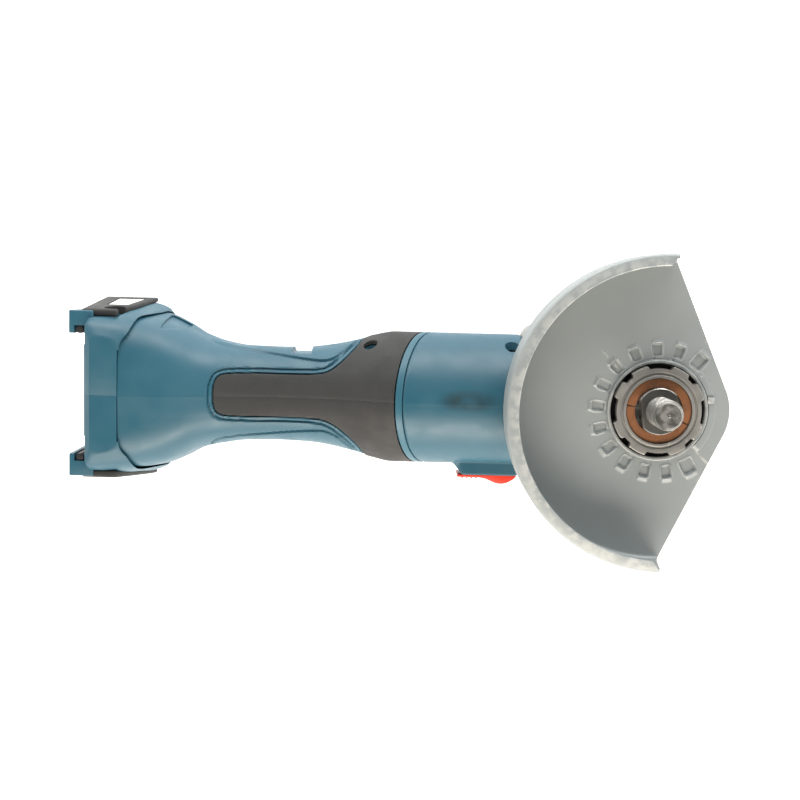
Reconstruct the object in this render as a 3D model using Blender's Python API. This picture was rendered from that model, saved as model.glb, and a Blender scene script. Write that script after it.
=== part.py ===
"""Cordless 125 mm angle grinder, battery off, lying on its back.

X runs along the tool with the battery foot at -X, Z is the spindle's axis and points away from the
floor, and the floor is z = 0. Every length below is in millimetres; build_object turns it to metres.
"""
import math

import bmesh
import bpy
from mathutils import Matrix, Vector

MM = 0.001
GAP = 0.3

# driving dimensions
MOTOR_Z = 32.0
BODY_R = 31.5
BODY_WALL = 3.4
HEAD_TOP = 57.0
HEAD_HALF_WIDTH = 36.5
HEAD_REAR_X = -60.0
HEAD_NOSE_R = 29.5
COLLAR_R = 21.0
COLLAR_TOP = 71.0
NOTCH_FLOOR = 64.0
GUARD_R = 70.5
GUARD_SHEET = 1.6
GUARD_PLATE_TOP = 67.0
GUARD_LIP_TOP = 89.0
GUARD_LIP = 5.4
GUARD_SET_DEG = -1.0
SPINDLE_TIP = 92.0
SPINDLE_SEAT = 73.4
STUD_R = 6.85
SHOULDER_R = 10.6
BEARING_SEAT_R = 7.5
GEAR_SEAT_R = 6.0
JOURNAL_R = 5.0
SHAFT_R = 4.0
PINION_SHAFT_R = 3.0
GRIP_HALF_WIDTH = 23.0
FOOT_SEAM_X = -247.0
FOOT_REAR_X = -263.8
RAIL_REAR_X = -271.0
FOOT_CORNER = (28.0, 17.0)
FOOT_CORNER_CURVE = ((1.0, 0.0), (0.72, 0.45), (0.55, 0.80), (0.30, 0.94), (0.0, 1.0))
FOOT_WIDEST = 43.5
FOOT_LEAN = 0.13
FOOT_STEP = 1.4
BUMPER_FOOT_Z = 8.0
BUMPER_PROUD = 2.6
BUMPER_DEPTH = 1.3
NECK_X = -107.5
PLATFORM_Y = 36.0
NECK_SLOPE = 0.40
RUBBER = 1.7
SHELL_INSET = 4.0
HANDLE_SIDES = 28

# bevel pair: a straight-toothed crown wheel on the spindle and a pinion on the motor shaft
CROWN_TEETH = 30
PINION_TEETH = 10
GEAR_MODULE = 1.25
GEAR_FACE = 5.6
GEAR_REACH = (0.55, 0.85)

POCKET_PITCH_DEG = 20.45
POCKET_COUNT = 13
POCKET_MIDDLE_DEG = 177.5
POCKET_DEPTH = 0.9
POCKET_INNER_R = 25.2
POCKET_OUTER_R = 31.0
POCKET_CENTRE = (1.0, -0.4)
POCKET_HALF_WIDTHS = (1.95, 2.35)
LATCH_DEG = POCKET_MIDDLE_DEG - 3 * POCKET_PITCH_DEG
LATCH_PIVOT_R = 38.7
LATCH_PIVOT_Z = 60.0
LATCH_EAR_ACROSS = 5.8

DUST_RING_Z = 69.2
FLANGE_SCREW_R = 25.3
SIDE_BOSS = (-15.0, 30.0)
SIDE_BOSS_R = 9.0
SIDE_BOSS_FACE_Y = 39.0
SIDE_SOCKET_R = 4.2
LOCK_R = 10.4
LOCK_BUTTON_X = 12.4
NECK_SCREW = (-132.0, 46.0)
NECK_SCREW_SEAT_Y = 14.0
FOOT_SCREW = (-251.5, 50.0)
FOOT_SCREW_SEAT_Y = 28.0
HOUSING_SCREW = (-65.5, 49.0)

BLUE = ("body_blue", (0.10, 0.29, 0.36), 0.45, 0.0)
PALE_BLUE = ("ring_blue", (0.20, 0.42, 0.48), 0.45, 0.0)
RUBBER_GREY = ("grip_rubber", (0.13, 0.12, 0.11), 0.75, 0.0)
RED = ("switch_red", (0.85, 0.06, 0.03), 0.4, 0.0)
GUARD_STEEL = ("guard_steel", (0.36, 0.37, 0.35), 0.45, 0.6)
CAST = ("cast_alloy", (0.42, 0.41, 0.38), 0.5, 0.8)
STEEL = ("steel", (0.50, 0.49, 0.46), 0.35, 1.0)
COPPER = ("copper", (0.42, 0.20, 0.10), 0.4, 0.9)
BLACK = ("black_plastic", (0.03, 0.03, 0.03), 0.5, 0.0)
BRASS = ("brass", (0.60, 0.45, 0.18), 0.35, 1.0)
WHITE = ("blank_plate", (0.75, 0.75, 0.72), 0.5, 0.0)


# ---------------------------------------------------------------- helpers
def new_collection(name):
    collection = bpy.data.collections.new(name)
    bpy.context.scene.collection.children.link(collection)
    return collection


def material(spec):
    name, colour, roughness, metallic = spec
    if name in bpy.data.materials:
        return bpy.data.materials[name]
    made = bpy.data.materials.new(name)
    made.use_nodes = True
    shader = made.node_tree.nodes["Principled BSDF"]
    shader.inputs["Base Color"].default_value = (*colour, 1.0)
    shader.inputs["Roughness"].default_value = roughness
    shader.inputs["Metallic"].default_value = metallic
    made.diffuse_color = (*colour, 1.0)
    return made


def build_object(name, shape, spec=None):
    """Close a bmesh drawn in millimetres into an object: a part if it has a material, else a cutter."""
    bmesh.ops.remove_doubles(shape, verts=shape.verts, dist=1e-4)
    bmesh.ops.recalc_face_normals(shape, faces=shape.faces)
    bmesh.ops.transform(shape, matrix=Matrix.Scale(MM, 4), verts=shape.verts)
    mesh = bpy.data.meshes.new(name)
    shape.to_mesh(mesh)
    shape.free()
    made = bpy.data.objects.new(name, mesh)
    if spec is None:
        CUTTERS.objects.link(made)
        made.hide_render = True
        made.display_type = "WIRE"
    else:
        PARTS.objects.link(made)
        mesh.materials.append(material(spec))
        mesh.shade_smooth()
        mesh.set_sharp_from_angle(angle=math.radians(35))
    return made


def box(name, low, high, spec=None, bevel=0.0, turn=0.0):
    """A box between two corners, turned about the spindle by turn degrees."""
    shape = bmesh.new()
    bmesh.ops.create_cube(shape, size=1.0)
    size = [b - a for a, b in zip(low, high)]
    middle = [(a + b) / 2 for a, b in zip(low, high)]
    bmesh.ops.transform(shape, matrix=Matrix.Diagonal((*size, 1.0)), verts=shape.verts)
    if bevel:
        bmesh.ops.bevel(shape, geom=shape.edges[:], offset=bevel, segments=1, affect="EDGES")
    place = Matrix.Rotation(math.radians(turn), 4, "Z") @ Matrix.Translation(middle)
    bmesh.ops.transform(shape, matrix=place, verts=shape.verts)
    return build_object(name, shape, spec)


def axis_frame(axis, at):
    """The transform that takes +Z to the axis and the origin to a point."""
    turn = Vector((0, 0, 1)).rotation_difference(Vector(axis)).to_matrix().to_4x4()
    return Matrix.Translation(at) @ turn


def turned(name, profile, spec=None, axis=(0, 0, 1), at=(0, 0, 0), sides=32):
    """A solid of revolution: profile is a closed loop of (radius, height) points."""
    shape = bmesh.new()
    points = [shape.verts.new((radius, 0.0, height)) for radius, height in profile]
    edges = [shape.edges.new((points[i - 1], points[i])) for i in range(len(points))
             if profile[i - 1][0] > 0 or profile[i][0] > 0]
    bmesh.ops.spin(shape, geom=points + edges, axis=(0, 0, 1), cent=(0, 0, 0),
                   angle=2 * math.pi, steps=sides, use_merge=True)
    bmesh.ops.transform(shape, matrix=axis_frame(axis, at), verts=shape.verts)
    return build_object(name, shape, spec)


def rod(name, start, end, radius, spec=None, sides=16, chamfer=0.0):
    """A round bar between two points, its ends chamfered if asked."""
    run = Vector(end) - Vector(start)
    length = run.length
    if chamfer:
        profile = [(0, 0), (radius - chamfer, 0), (radius, chamfer), (radius, length - chamfer),
                   (radius - chamfer, length), (0, length)]
    else:
        profile = [(0, 0), (radius, 0), (radius, length), (0, length)]
    return turned(name, profile, spec, run.normalized(), start, sides)


def tube(name, start, end, inner, outer, spec=None, sides=32):
    run = Vector(end) - Vector(start)
    profile = [(inner, 0), (outer, 0), (outer, run.length), (inner, run.length)]
    return turned(name, profile, spec, run.normalized(), start, sides)


def prism(name, outline, low, high, spec=None, turn=0.0):
    """A flat outline in X and Y raised from low to high along Z."""
    shape = bmesh.new()
    face = shape.faces.new([shape.verts.new((x, y, low)) for x, y in outline])
    raised = bmesh.ops.extrude_face_region(shape, geom=[face])
    top = [item for item in raised["geom"] if isinstance(item, bmesh.types.BMVert)]
    bmesh.ops.translate(shape, verts=top, vec=(0, 0, high - low))
    bmesh.ops.rotate(shape, verts=shape.verts, matrix=Matrix.Rotation(math.radians(turn), 3, "Z"))
    return build_object(name, shape, spec)


def loft(name, rings, spec=None):
    """A closed body skinned over rings of equal point count, capped at both ends."""
    shape = bmesh.new()
    rows = [[shape.verts.new(point) for point in ring] for ring in rings]
    count = len(rows[0])
    for first, second in zip(rows, rows[1:]):
        for i in range(count):
            shape.faces.new((first[i - 1], first[i], second[i], second[i - 1]))
    shape.faces.new(rows[0][::-1])
    shape.faces.new(rows[-1])
    return build_object(name, shape, spec)


def wire(name, points, radius, spec):
    """A round wire along a list of points, as a closed mesh."""
    curve = bpy.data.curves.new(name, "CURVE")
    curve.dimensions = "3D"
    curve.bevel_depth = radius * MM
    curve.bevel_resolution = 1
    curve.use_fill_caps = True
    spline = curve.splines.new("POLY")
    spline.points.add(len(points) - 1)
    for place, point in zip(spline.points, points):
        place.co = (*(Vector(point) * MM), 1.0)
    guide = bpy.data.objects.new(name + "_curve", curve)
    CUTTERS.objects.link(guide)
    evaluated = guide.evaluated_get(bpy.context.evaluated_depsgraph_get())
    swept = bpy.data.meshes.new_from_object(evaluated)
    shape = bmesh.new()
    shape.from_mesh(swept)
    bmesh.ops.transform(shape, matrix=Matrix.Scale(1 / MM, 4), verts=shape.verts)
    bpy.data.objects.remove(guide)
    return build_object(name, shape, spec)


def coil(start, axis, radius, turns, rise, per_turn=10):
    """Points along a helix that starts at a point and climbs along an axis."""
    place = axis_frame(axis, start)
    count = int(turns * per_turn)
    return [place @ Vector((radius * math.cos(2 * math.pi * i / per_turn),
                            radius * math.sin(2 * math.pi * i / per_turn),
                            rise * i / count)) for i in range(count + 1)]


def combine(target, tools, operation):
    """Apply an exact Boolean of each tool to the target and drop the tools."""
    for tool in tools:
        step = target.modifiers.new("combine", "BOOLEAN")
        step.operation = operation
        step.solver = "EXACT"
        step.object = tool
        evaluated = target.evaluated_get(bpy.context.evaluated_depsgraph_get())
        result = bpy.data.meshes.new_from_object(evaluated)
        target.modifiers.clear()
        old = target.data
        target.data = result
        bpy.data.meshes.remove(old)
        bpy.data.objects.remove(tool)
    shape = bmesh.new()
    shape.from_mesh(target.data)
    bmesh.ops.remove_doubles(shape, verts=shape.verts, dist=2e-6)
    bmesh.ops.dissolve_degenerate(shape, dist=1e-6, edges=shape.edges)
    bmesh.ops.dissolve_limit(shape, angle_limit=math.radians(0.5), verts=shape.verts, edges=shape.edges)
    shape.to_mesh(target.data)
    shape.free()
    return target


def cut(target, *tools):
    return combine(target, tools, "DIFFERENCE")


def join(target, *tools):
    return combine(target, tools, "UNION")


def keep(target, *tools):
    return combine(target, tools, "INTERSECT")


def ellipse_ring(x, half_width, low, high, power, sides, spread=0.0):
    """A superellipse section at x; spread widens its floor side and narrows its guard side."""
    ring = []
    for i in range(sides):
        angle = 2 * math.pi * (i + 0.5) / sides
        c, s = math.cos(angle), math.sin(angle)
        rise = math.copysign(abs(s) ** (2 / power), s)
        y = half_width * math.copysign(abs(c) ** (2 / power), c) * (1 - spread * rise)
        ring.append((x, y, (low + high) / 2 + (high - low) / 2 * rise))
    return ring


# ---------------------------------------------------------------- guard and spindle head
def make_guard():
    """Stamped pan: flat plate with a raised hole collar, rolled corner, flange and turned-in lip."""
    bottom = GUARD_PLATE_TOP - GUARD_SHEET
    inside = GUARD_R - GUARD_SHEET
    collar = COLLAR_R + 0.6
    corner = [(GUARD_R - 3.5 + 3.5 * math.sin(a), bottom + 3.5 - 3.5 * math.cos(a))
              for a in (math.radians(d) for d in (0, 30, 60, 90))]
    inner_corner = [(inside - 2 + 2 * math.sin(a), GUARD_PLATE_TOP + 2 - 2 * math.cos(a))
                    for a in (math.radians(d) for d in (90, 45, 0))]
    profile = [(collar, bottom)] + corner
    profile += [(GUARD_R, GUARD_LIP_TOP), (GUARD_R - GUARD_LIP, GUARD_LIP_TOP),
                (GUARD_R - GUARD_LIP, GUARD_LIP_TOP - GUARD_SHEET), (inside, GUARD_LIP_TOP - GUARD_SHEET)]
    profile += inner_corner
    profile += [(24.6, GUARD_PLATE_TOP), (24.0, GUARD_PLATE_TOP + 1.2), (collar, GUARD_PLATE_TOP + 1.2)]
    guard = turned("guard", profile, GUARD_STEEL, sides=64)
    nose_r, nose_x, line_deg = 25.0, 8.0, 24.5
    normal = Vector((math.cos(math.radians(line_deg)), math.sin(math.radians(line_deg))))
    along = Vector((-normal.y, normal.x))
    arc = [(nose_x + nose_r * math.cos(math.radians(a)), nose_r * math.sin(math.radians(a)))
           for a in range(-24, 25, 6)]
    tip = Vector((nose_x, 0)) + normal * nose_r
    far = tip + along * 80
    back = -GUARD_R - 5
    outline = [(back, -far.y), (far.x, -far.y)] + arc + [(far.x, far.y), (back, far.y)]
    guard = keep(guard, prism("front", outline, 60, 95))
    for side in (-1, 1):
        notch = [(1.6, side * 73), (0.7, side * 69.4), (-3.1, side * 64.2), (12, side * 60), (12, side * 73)]
        guard = cut(guard, prism("lip_end", notch[::side], GUARD_LIP_TOP - GUARD_SHEET - 0.1, 95))
        rings = [[(x, side * 66, z), (14, side * 66, z), (14, side * 74, z), (x, side * 74, z)]
                 for x, z in ((3.8, GUARD_PLATE_TOP + 1), (1.0, GUARD_LIP_TOP))]
        guard = cut(guard, loft("wall_end", rings))
    for i in range(POCKET_COUNT):
        heading = POCKET_MIDDLE_DEG + (i - POCKET_COUNT // 2) * POCKET_PITCH_DEG
        c, s = math.cos(math.radians(heading)), math.sin(math.radians(heading))
        narrow, wide = POCKET_HALF_WIDTHS
        wedge = [(POCKET_CENTRE[0] + r * c - t * s, POCKET_CENTRE[1] + r * s + t * c)
                 for r, t in ((POCKET_INNER_R, -narrow), (POCKET_OUTER_R, -wide),
                              (POCKET_OUTER_R, wide), (POCKET_INNER_R, narrow))]
        floor = GUARD_PLATE_TOP - POCKET_DEPTH
        guard = cut(guard, prism("pocket", wedge, floor, GUARD_PLATE_TOP + 2))
    guard.rotation_euler.z = math.radians(GUARD_SET_DEG)


def flange_screw_places():
    headings = [math.radians(45 + 90 * i) for i in range(4)]
    return [(FLANGE_SCREW_R * math.cos(a), FLANGE_SCREW_R * math.sin(a)) for a in headings]


def make_bearing_flange():
    """Cast ring: screw flange on the head, and the notched collar that carries the guard."""
    profile = [(16.3, HEAD_TOP + GAP), (29.3, HEAD_TOP + GAP), (29.3, 61.3), (COLLAR_R, 61.3),
               (COLLAR_R, COLLAR_TOP), (17.5, COLLAR_TOP), (17.4, COLLAR_TOP - 1.0),
               (16.3, COLLAR_TOP - 1.0), (16.2, COLLAR_TOP + 0.3), (15.0, COLLAR_TOP + 0.3),
               (15.0, DUST_RING_Z - GAP), (13.6, DUST_RING_Z - GAP), (13.6, 67.2), (16.3, 67.2)]
    flange = turned("bearing_flange", profile, CAST, sides=40)
    for i in range(8):
        half = 5.8 if i % 2 == 0 else 2.7
        low, high = (COLLAR_R - 1.7, -half, NOTCH_FLOOR), (COLLAR_R + 3, half, 75)
        flange = cut(flange, box("notch", low, high, turn=45 * i))
    for x, y in flange_screw_places():
        flange = cut(flange, rod("screw_hole", (x, y, 50), (x, y, 66), 2.5, sides=10))
    cut(flange, box("latch_way", (24.5, -3.4, 50), (36, 3.4, 66), turn=LATCH_DEG))


def make_spindle():
    """Turned spindle: needle journal, gear seat, bearing seat, flatted shoulder and threaded stud."""
    profile = [(0, 12.5), (JOURNAL_R - 0.5, 12.5), (JOURNAL_R, 13.0), (JOURNAL_R, 25.5),
               (GEAR_SEAT_R, 25.5), (GEAR_SEAT_R, 50.0), (BEARING_SEAT_R, 50.0), (BEARING_SEAT_R, 68.8),
               (SHOULDER_R, 68.8), (SHOULDER_R, SPINDLE_SEAT - 0.4), (SHOULDER_R - 0.4, SPINDLE_SEAT),
               (STUD_R, SPINDLE_SEAT), (STUD_R, SPINDLE_TIP - 1.7),
               (5.2, SPINDLE_TIP), (0, SPINDLE_TIP)]
    spindle = turned("spindle", profile, STEEL, sides=24)
    for side in (-1, 1):
        low, high = sorted((side * 8.3, side * 14))
        spindle = cut(spindle, box("flat", (low, -12, 66), (high, 12, SPINDLE_SEAT + 0.6), turn=6))


def bevel_gear(name, teeth, mate, spec, reach, place, bore, back, phase=0.0):
    """Straight bevel gear about +Z with its cone's apex at the origin and teeth towards the apex.

    reach shortens and thins the teeth so that meshing flanks keep their gap.
    """
    outer_r = GEAR_MODULE * teeth / 2
    cone = math.hypot(outer_r, GEAR_MODULE * mate / 2)
    pitch = math.asin(outer_r / cone)
    shape = bmesh.new()
    rings = []
    for distance in (cone - GEAR_FACE, cone):
        scale = distance / cone
        tip = GEAR_MODULE * scale * reach[0]
        root = GEAR_MODULE * scale * reach[1]
        ring = []
        for tooth in range(teeth):
            middle = 2 * math.pi * (tooth + phase) / teeth
            pitch_half = math.pi / teeth
            for offset, height in ((-0.62, -root), (-0.22, tip), (0.22, tip), (0.62, -root)):
                radius = distance * math.sin(pitch) + height * math.cos(pitch)
                z = distance * math.cos(pitch) - height * math.sin(pitch)
                angle = middle + offset * pitch_half
                ring.append(shape.verts.new((radius * math.cos(angle), radius * math.sin(angle), z)))
        rings.append(ring)
    count = len(rings[0])
    base_z = back[1]
    hub = [shape.verts.new((back[0] * math.cos(2 * math.pi * i / count),
                            back[0] * math.sin(2 * math.pi * i / count), base_z)) for i in range(count)]
    rings.append(hub)
    for first, second in zip(rings, rings[1:]):
        for i in range(count):
            shape.faces.new((first[i - 1], first[i], second[i], second[i - 1]))
    shape.faces.new(rings[0][::-1])
    shape.faces.new(rings[-1])
    bmesh.ops.triangulate(shape, faces=shape.faces[:])
    bmesh.ops.transform(shape, matrix=place, verts=shape.verts)
    gear = build_object(name, shape, spec)
    start = place @ Vector((0, 0, base_z + 20))
    end = place @ Vector((0, 0, -base_z))
    return cut(gear, rod("bore", start, end, bore, sides=20))


def make_gears():
    apex = Matrix.Translation((0, 0, MOTOR_Z))
    crown = bevel_gear("crown_gear", CROWN_TEETH, PINION_TEETH, STEEL, GEAR_REACH, apex,
                       GEAR_SEAT_R + GAP, (15.0, 13.5), phase=0.5)
    for i in range(6):
        a = math.radians(60 * i)
        x, y = LOCK_R * math.cos(a), LOCK_R * math.sin(a)
        crown = cut(crown, rod("lock_hole", (x, y, 30), (x, y, 60), 2.2, sides=10))
    pinion_place = Matrix.Translation((0, 0, MOTOR_Z)) @ Matrix.Rotation(math.radians(-90), 4, "Y")
    bevel_gear("pinion_gear", PINION_TEETH, CROWN_TEETH, STEEL, GEAR_REACH, pinion_place,
               PINION_SHAFT_R + GAP, (4.6, 21.5))


def make_head():
    """Gear housing: a blunt cast shell over the bevel gears, open towards the motor and the guard."""
    sides = 32
    sections = [(HEAD_REAR_X, BODY_R, 0.5, 63.4, 2.0), (HEAD_REAR_X + 2.5, 35.2, 0.3, 61.0, 2.2),
                (HEAD_REAR_X + 6, HEAD_HALF_WIDTH, 0.1, 58.6, 2.6),
                (HEAD_REAR_X + 12, HEAD_HALF_WIDTH + 0.3, 0.0, HEAD_TOP, 3.2),
                (-24, HEAD_HALF_WIDTH - 1.0, 0.0, HEAD_TOP, 3.8), (-6, HEAD_NOSE_R, 0.0, HEAD_TOP, 4.5)]
    head = loft("gear_housing", [ellipse_ring(*section, sides) for section in sections], CAST)
    nose = turned("nose", [(0, 0), (HEAD_NOSE_R - 5, 0), (HEAD_NOSE_R - 1.5, 1.5), (HEAD_NOSE_R, 5),
                           (HEAD_NOSE_R, HEAD_TOP), (0, HEAD_TOP)], sides=36)
    boss_x, boss_z = SIDE_BOSS
    bosses = [rod("boss", (boss_x, side * 28, boss_z), (boss_x, side * SIDE_BOSS_FACE_Y, boss_z),
                  SIDE_BOSS_R, sides=24) for side in (-1, 1)]
    head = join(head, nose, *bosses)
    ledge = box("ledge", (26.0, -7.4, 47), (41.4, 7.4, HEAD_TOP - 0.2), turn=LATCH_DEG)
    ears = [box("ear", (35.6, side * LATCH_EAR_ACROSS - 1.2, 53), (41.2, side * LATCH_EAR_ACROSS + 1.2, 62.2),
                turn=LATCH_DEG) for side in (-1, 1)]
    head = join(head, ledge, *ears)
    motor_bore = rod("motor_bore", (HEAD_REAR_X - 5, 0, MOTOR_Z), (-38.5, 0, MOTOR_Z), 27.5, sides=32)
    gear_bore = rod("gear_bore", (0, 0, 24.2), (0, 0, 70), 21.2, sides=32)
    pinion_bore = rod("pinion_bore", (-40, 0, MOTOR_Z), (-10, 0, MOTOR_Z), 16.0, sides=24)
    journal = rod("journal", (0, 0, 11.5), (0, 0, 30), 7.4, sides=20)
    head = cut(head, motor_bore, gear_bore, pinion_bore, journal)
    well = rod("button_well", (LOCK_BUTTON_X, 0, -3), (LOCK_BUTTON_X, 0, 10.8), 7.4, sides=20)
    pin_way = rod("pin_way", (LOCK_R, 0, 8), (LOCK_R, 0, 30), 2.25, sides=12)
    sockets = [rod("socket", (boss_x, side * 22, boss_z), (boss_x, side * 45, boss_z), SIDE_SOCKET_R,
                   sides=20) for side in (-1, 1)]
    latch_pin_hole = latch_axis_rod("pin_hole", 1.35)
    head = cut(head, well, pin_way, *sockets, latch_pin_hole)
    for x, y in flange_screw_places():
        head = cut(head, rod("screw_hole", (x, y, 45), (x, y, 70), 2.3, sides=10))


def screw(name, seat, direction, head_r, head_h, shank_r, shank_length):
    """Pan-head screw: seat is where the head meets the work, direction points out of the hole."""
    profile = [(0, -shank_length), (shank_r, -shank_length), (shank_r, 0), (head_r, 0),
               (head_r, head_h * 0.7), (head_r * 0.8, head_h), (head_r * 0.35, head_h),
               (head_r * 0.35, head_h * 0.4), (0, head_h * 0.4)]
    turned(name, profile, STEEL, direction, seat, 12)


def make_head_fittings():
    """Bearings, flange screws, copper dust ring and the spindle lock's button and spring."""
    tube("needle_bearing", (0, 0, 12.0), (0, 0, 24.0), JOURNAL_R + GAP, 7.1, STEEL, 20)
    tube("spindle_bearing", (0, 0, HEAD_TOP + 0.6), (0, 0, 66.8), BEARING_SEAT_R + GAP, 16.0, STEEL, 28)
    tube("dust_ring", (0, 0, DUST_RING_Z), (0, 0, DUST_RING_Z + 1.0), SHOULDER_R + GAP, 14.7, COPPER, 36)
    for i, (x, y) in enumerate(flange_screw_places()):
        screw("flange_screw_" + str(i + 1), (x, y, 61.3 + GAP), (0, 0, 1), 3.1, 2.6, 1.9, 13)
    button = rod("lock_button", (LOCK_BUTTON_X, 0, 0.6), (LOCK_BUTTON_X, 0, 3.6), 7.0, BLACK, 20, chamfer=0.6)
    join(button, rod("pin", (LOCK_R, 0, 3), (LOCK_R, 0, 35.4), 1.9, sides=12))
    wire("lock_spring", coil((LOCK_R, 0, 4.4), (0, 0, 1), 3.1, 2.5, 5.6, 8), 0.35, STEEL)


def latch_point(radius, across, z):
    """A point given by radius, tangential offset and height on the latch's heading."""
    a = math.radians(LATCH_DEG)
    return (radius * math.cos(a) - across * math.sin(a), radius * math.sin(a) + across * math.cos(a), z)


def latch_axis_rod(name, radius, spec=None, reach=9.0):
    start = latch_point(LATCH_PIVOT_R, -reach, LATCH_PIVOT_Z)
    end = latch_point(LATCH_PIVOT_R, reach, LATCH_PIVOT_Z)
    return rod(name, start, end, radius, spec, sides=12)


def make_latch():
    """Guard latch: a lever on a cross pin, its tooth under the guard's ring of pockets."""
    lever = box("guard_latch", (28.2, -2.4, 58.8), (47, 2.4, 61.2), STEEL, turn=LATCH_DEG)
    tooth = box("tooth", (28.2, -1.7, 60), (30.2, 1.7, 65.1), turn=LATCH_DEG)
    pad = box("pad", (44, -7.5, 57.4), (48.5, 7.5, 61.6), bevel=0.8, turn=LATCH_DEG)
    hub = rod("hub", latch_point(LATCH_PIVOT_R, -2.4, LATCH_PIVOT_Z),
              latch_point(LATCH_PIVOT_R, 2.4, LATCH_PIVOT_Z), 2.2, sides=16)
    lever = join(lever, tooth, pad, hub)
    lever = cut(lever, latch_axis_rod("lever_bore", 1.05 + GAP, reach=10))
    latch_axis_rod("latch_pin", 1.05, STEEL, reach=7.4)
    a = math.radians(LATCH_DEG)
    along = (-math.sin(a), math.cos(a), 0)
    helix = coil(latch_point(LATCH_PIVOT_R, 3.0, LATCH_PIVOT_Z), along, 1.75, 2, 1.1, 8)
    wire("latch_spring", helix, 0.25, STEEL)


# ---------------------------------------------------------------- motor
def motor_tube(name, x_low, x_high, inner, outer, spec=None, sides=32):
    return tube(name, (x_low, 0, MOTOR_Z), (x_high, 0, MOTOR_Z), inner, outer, spec, sides)


def make_motor():
    shaft_profile = [(0, 0), (PINION_SHAFT_R, 0), (PINION_SHAFT_R, 8.4), (SHAFT_R, 8.4), (SHAFT_R, 102.5),
                     (0, 102.5)]
    turned("armature_shaft", shaft_profile, STEEL, (-1, 0, 0), (-13.6, 0, MOTOR_Z), 20)
    core = motor_tube("armature_core", -90, -62, SHAFT_R + GAP, 15.6, CAST, 24)
    for i in range(6):
        a = math.radians(60 * i)
        y, z = 15.6 * math.cos(a), MOTOR_Z + 15.6 * math.sin(a)
        core = cut(core, rod("core_slot", (-95, y, z), (-55, y, z), 1.6, sides=8))
    for name, low, high in (("winding_front", -61.6, -55.5), ("winding_rear", -96.0, -90.4)):
        middle = (low + high) / 2
        profile = [(4.4, low), (13.0, low), (15.0, middle), (13.0, high), (4.4, high)]
        turned(name, profile, COPPER, (1, 0, 0), (0, 0, MOTOR_Z), 24)
    motor_tube("commutator", -107, -96.4, SHAFT_R + GAP, 9.4, COPPER, 24)
    fan = motor_tube("fan", -54.5, -52.8, SHAFT_R + GAP, 25.0, BLACK, 32)
    for i in range(9):
        blade = box("blade", (-53.5, 8.0, MOTOR_Z - 0.6), (-46.5, 24.6, MOTOR_Z + 0.6))
        spin = Matrix.Rotation(math.radians(40 * i), 4, "X")
        about = Matrix.Translation((0, 0, MOTOR_Z * MM)) @ spin @ Matrix.Translation((0, 0, -MOTOR_Z * MM))
        blade.matrix_world = about @ blade.matrix_world
        bpy.context.view_layer.update()
        fan = join(fan, blade)
    motor_tube("front_bearing", -44.8, -38.9, SHAFT_R + GAP, 10.6, STEEL, 28)
    motor_tube("rear_bearing", -115.4, -109.6, SHAFT_R + GAP, 9.4, STEEL, 28)
    plate_profile = [(7.4, -46.2), (20.0, -46.2), (27.2, -44.0), (27.2, -38.9), (15.6, -38.9), (15.6, -36.9),
                     (5.0, -36.9), (5.0, -38.4), (10.9, -38.4), (10.9, -45.2), (7.4, -45.2)]
    turned("bearing_plate", plate_profile, CAST, (1, 0, 0), (0, 0, MOTOR_Z), 36)
    motor_tube("motor_can", -98, -55.2, 22.8, 24.5, STEEL, 32)
    for name, sign in (("magnet_upper", 1), ("magnet_lower", -1)):
        magnet = motor_tube(name, -93, -60, 16.4, 22.5, BLACK, 32)
        for side in (-1, 1):
            low, high = sorted((side * 18.5, side * 40))
            magnet = cut(magnet, box("clip", (-100, low, -10), (-50, high, 80)))
        low, high = sorted((MOTOR_Z + sign * 3, MOTOR_Z - sign * 40))
        magnet = cut(magnet, box("half", (-100, -40, low), (-50, 40, high)))
    profile = [(19.5, -98.4), (24.2, -98.4), (24.2, -109.2), (13.0, -109.2), (13.0, -118.0), (9.8, -118.0),
               (9.8, -107.6), (19.5, -107.6)]
    holder = turned("brush_holder", profile, BLACK, (1, 0, 0), (0, 0, MOTOR_Z), 24)
    for name, side in (("upper", 1), ("lower", -1)):
        low, high = sorted((MOTOR_Z + side * 14, MOTOR_Z + side * 30))
        holder = cut(holder, box("brush_way", (-106.2, -3.4, low), (-99.2, 3.4, high)))
        low, high = sorted((MOTOR_Z + side * 9.8, MOTOR_Z + side * 20.5))
        box("brush_" + name, (-105.8, -3, low), (-99.6, 3, high), BLACK)
        helix = coil((-102.7, 0, MOTOR_Z + side * 21.0), (0, 0, side), 1.7, 2.5, 2.6, 8)
        wire("brush_spring_" + name, helix, 0.3, STEEL)


def neck_cutter(name, offset, forward):
    """A slab bounded by the neck's leaning plane, on its head side or its foot side."""
    low, high = (-20.0, 90.0)
    lean = [(NECK_X + offset - NECK_SLOPE * (z - MOTOR_Z), z) for z in (low, high)]
    far = 60 if forward else -330
    shape = bmesh.new()
    corners = [(lean[0][0], low), (lean[1][0], high), (far, high), (far, low)]
    face = shape.faces.new([shape.verts.new((x, -60, z)) for x, z in corners])
    raised = bmesh.ops.extrude_face_region(shape, geom=[face])
    side = [item for item in raised["geom"] if isinstance(item, bmesh.types.BMVert)]
    bmesh.ops.translate(shape, verts=side, vec=(0, 120, 0))
    return build_object(name, shape)


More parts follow.
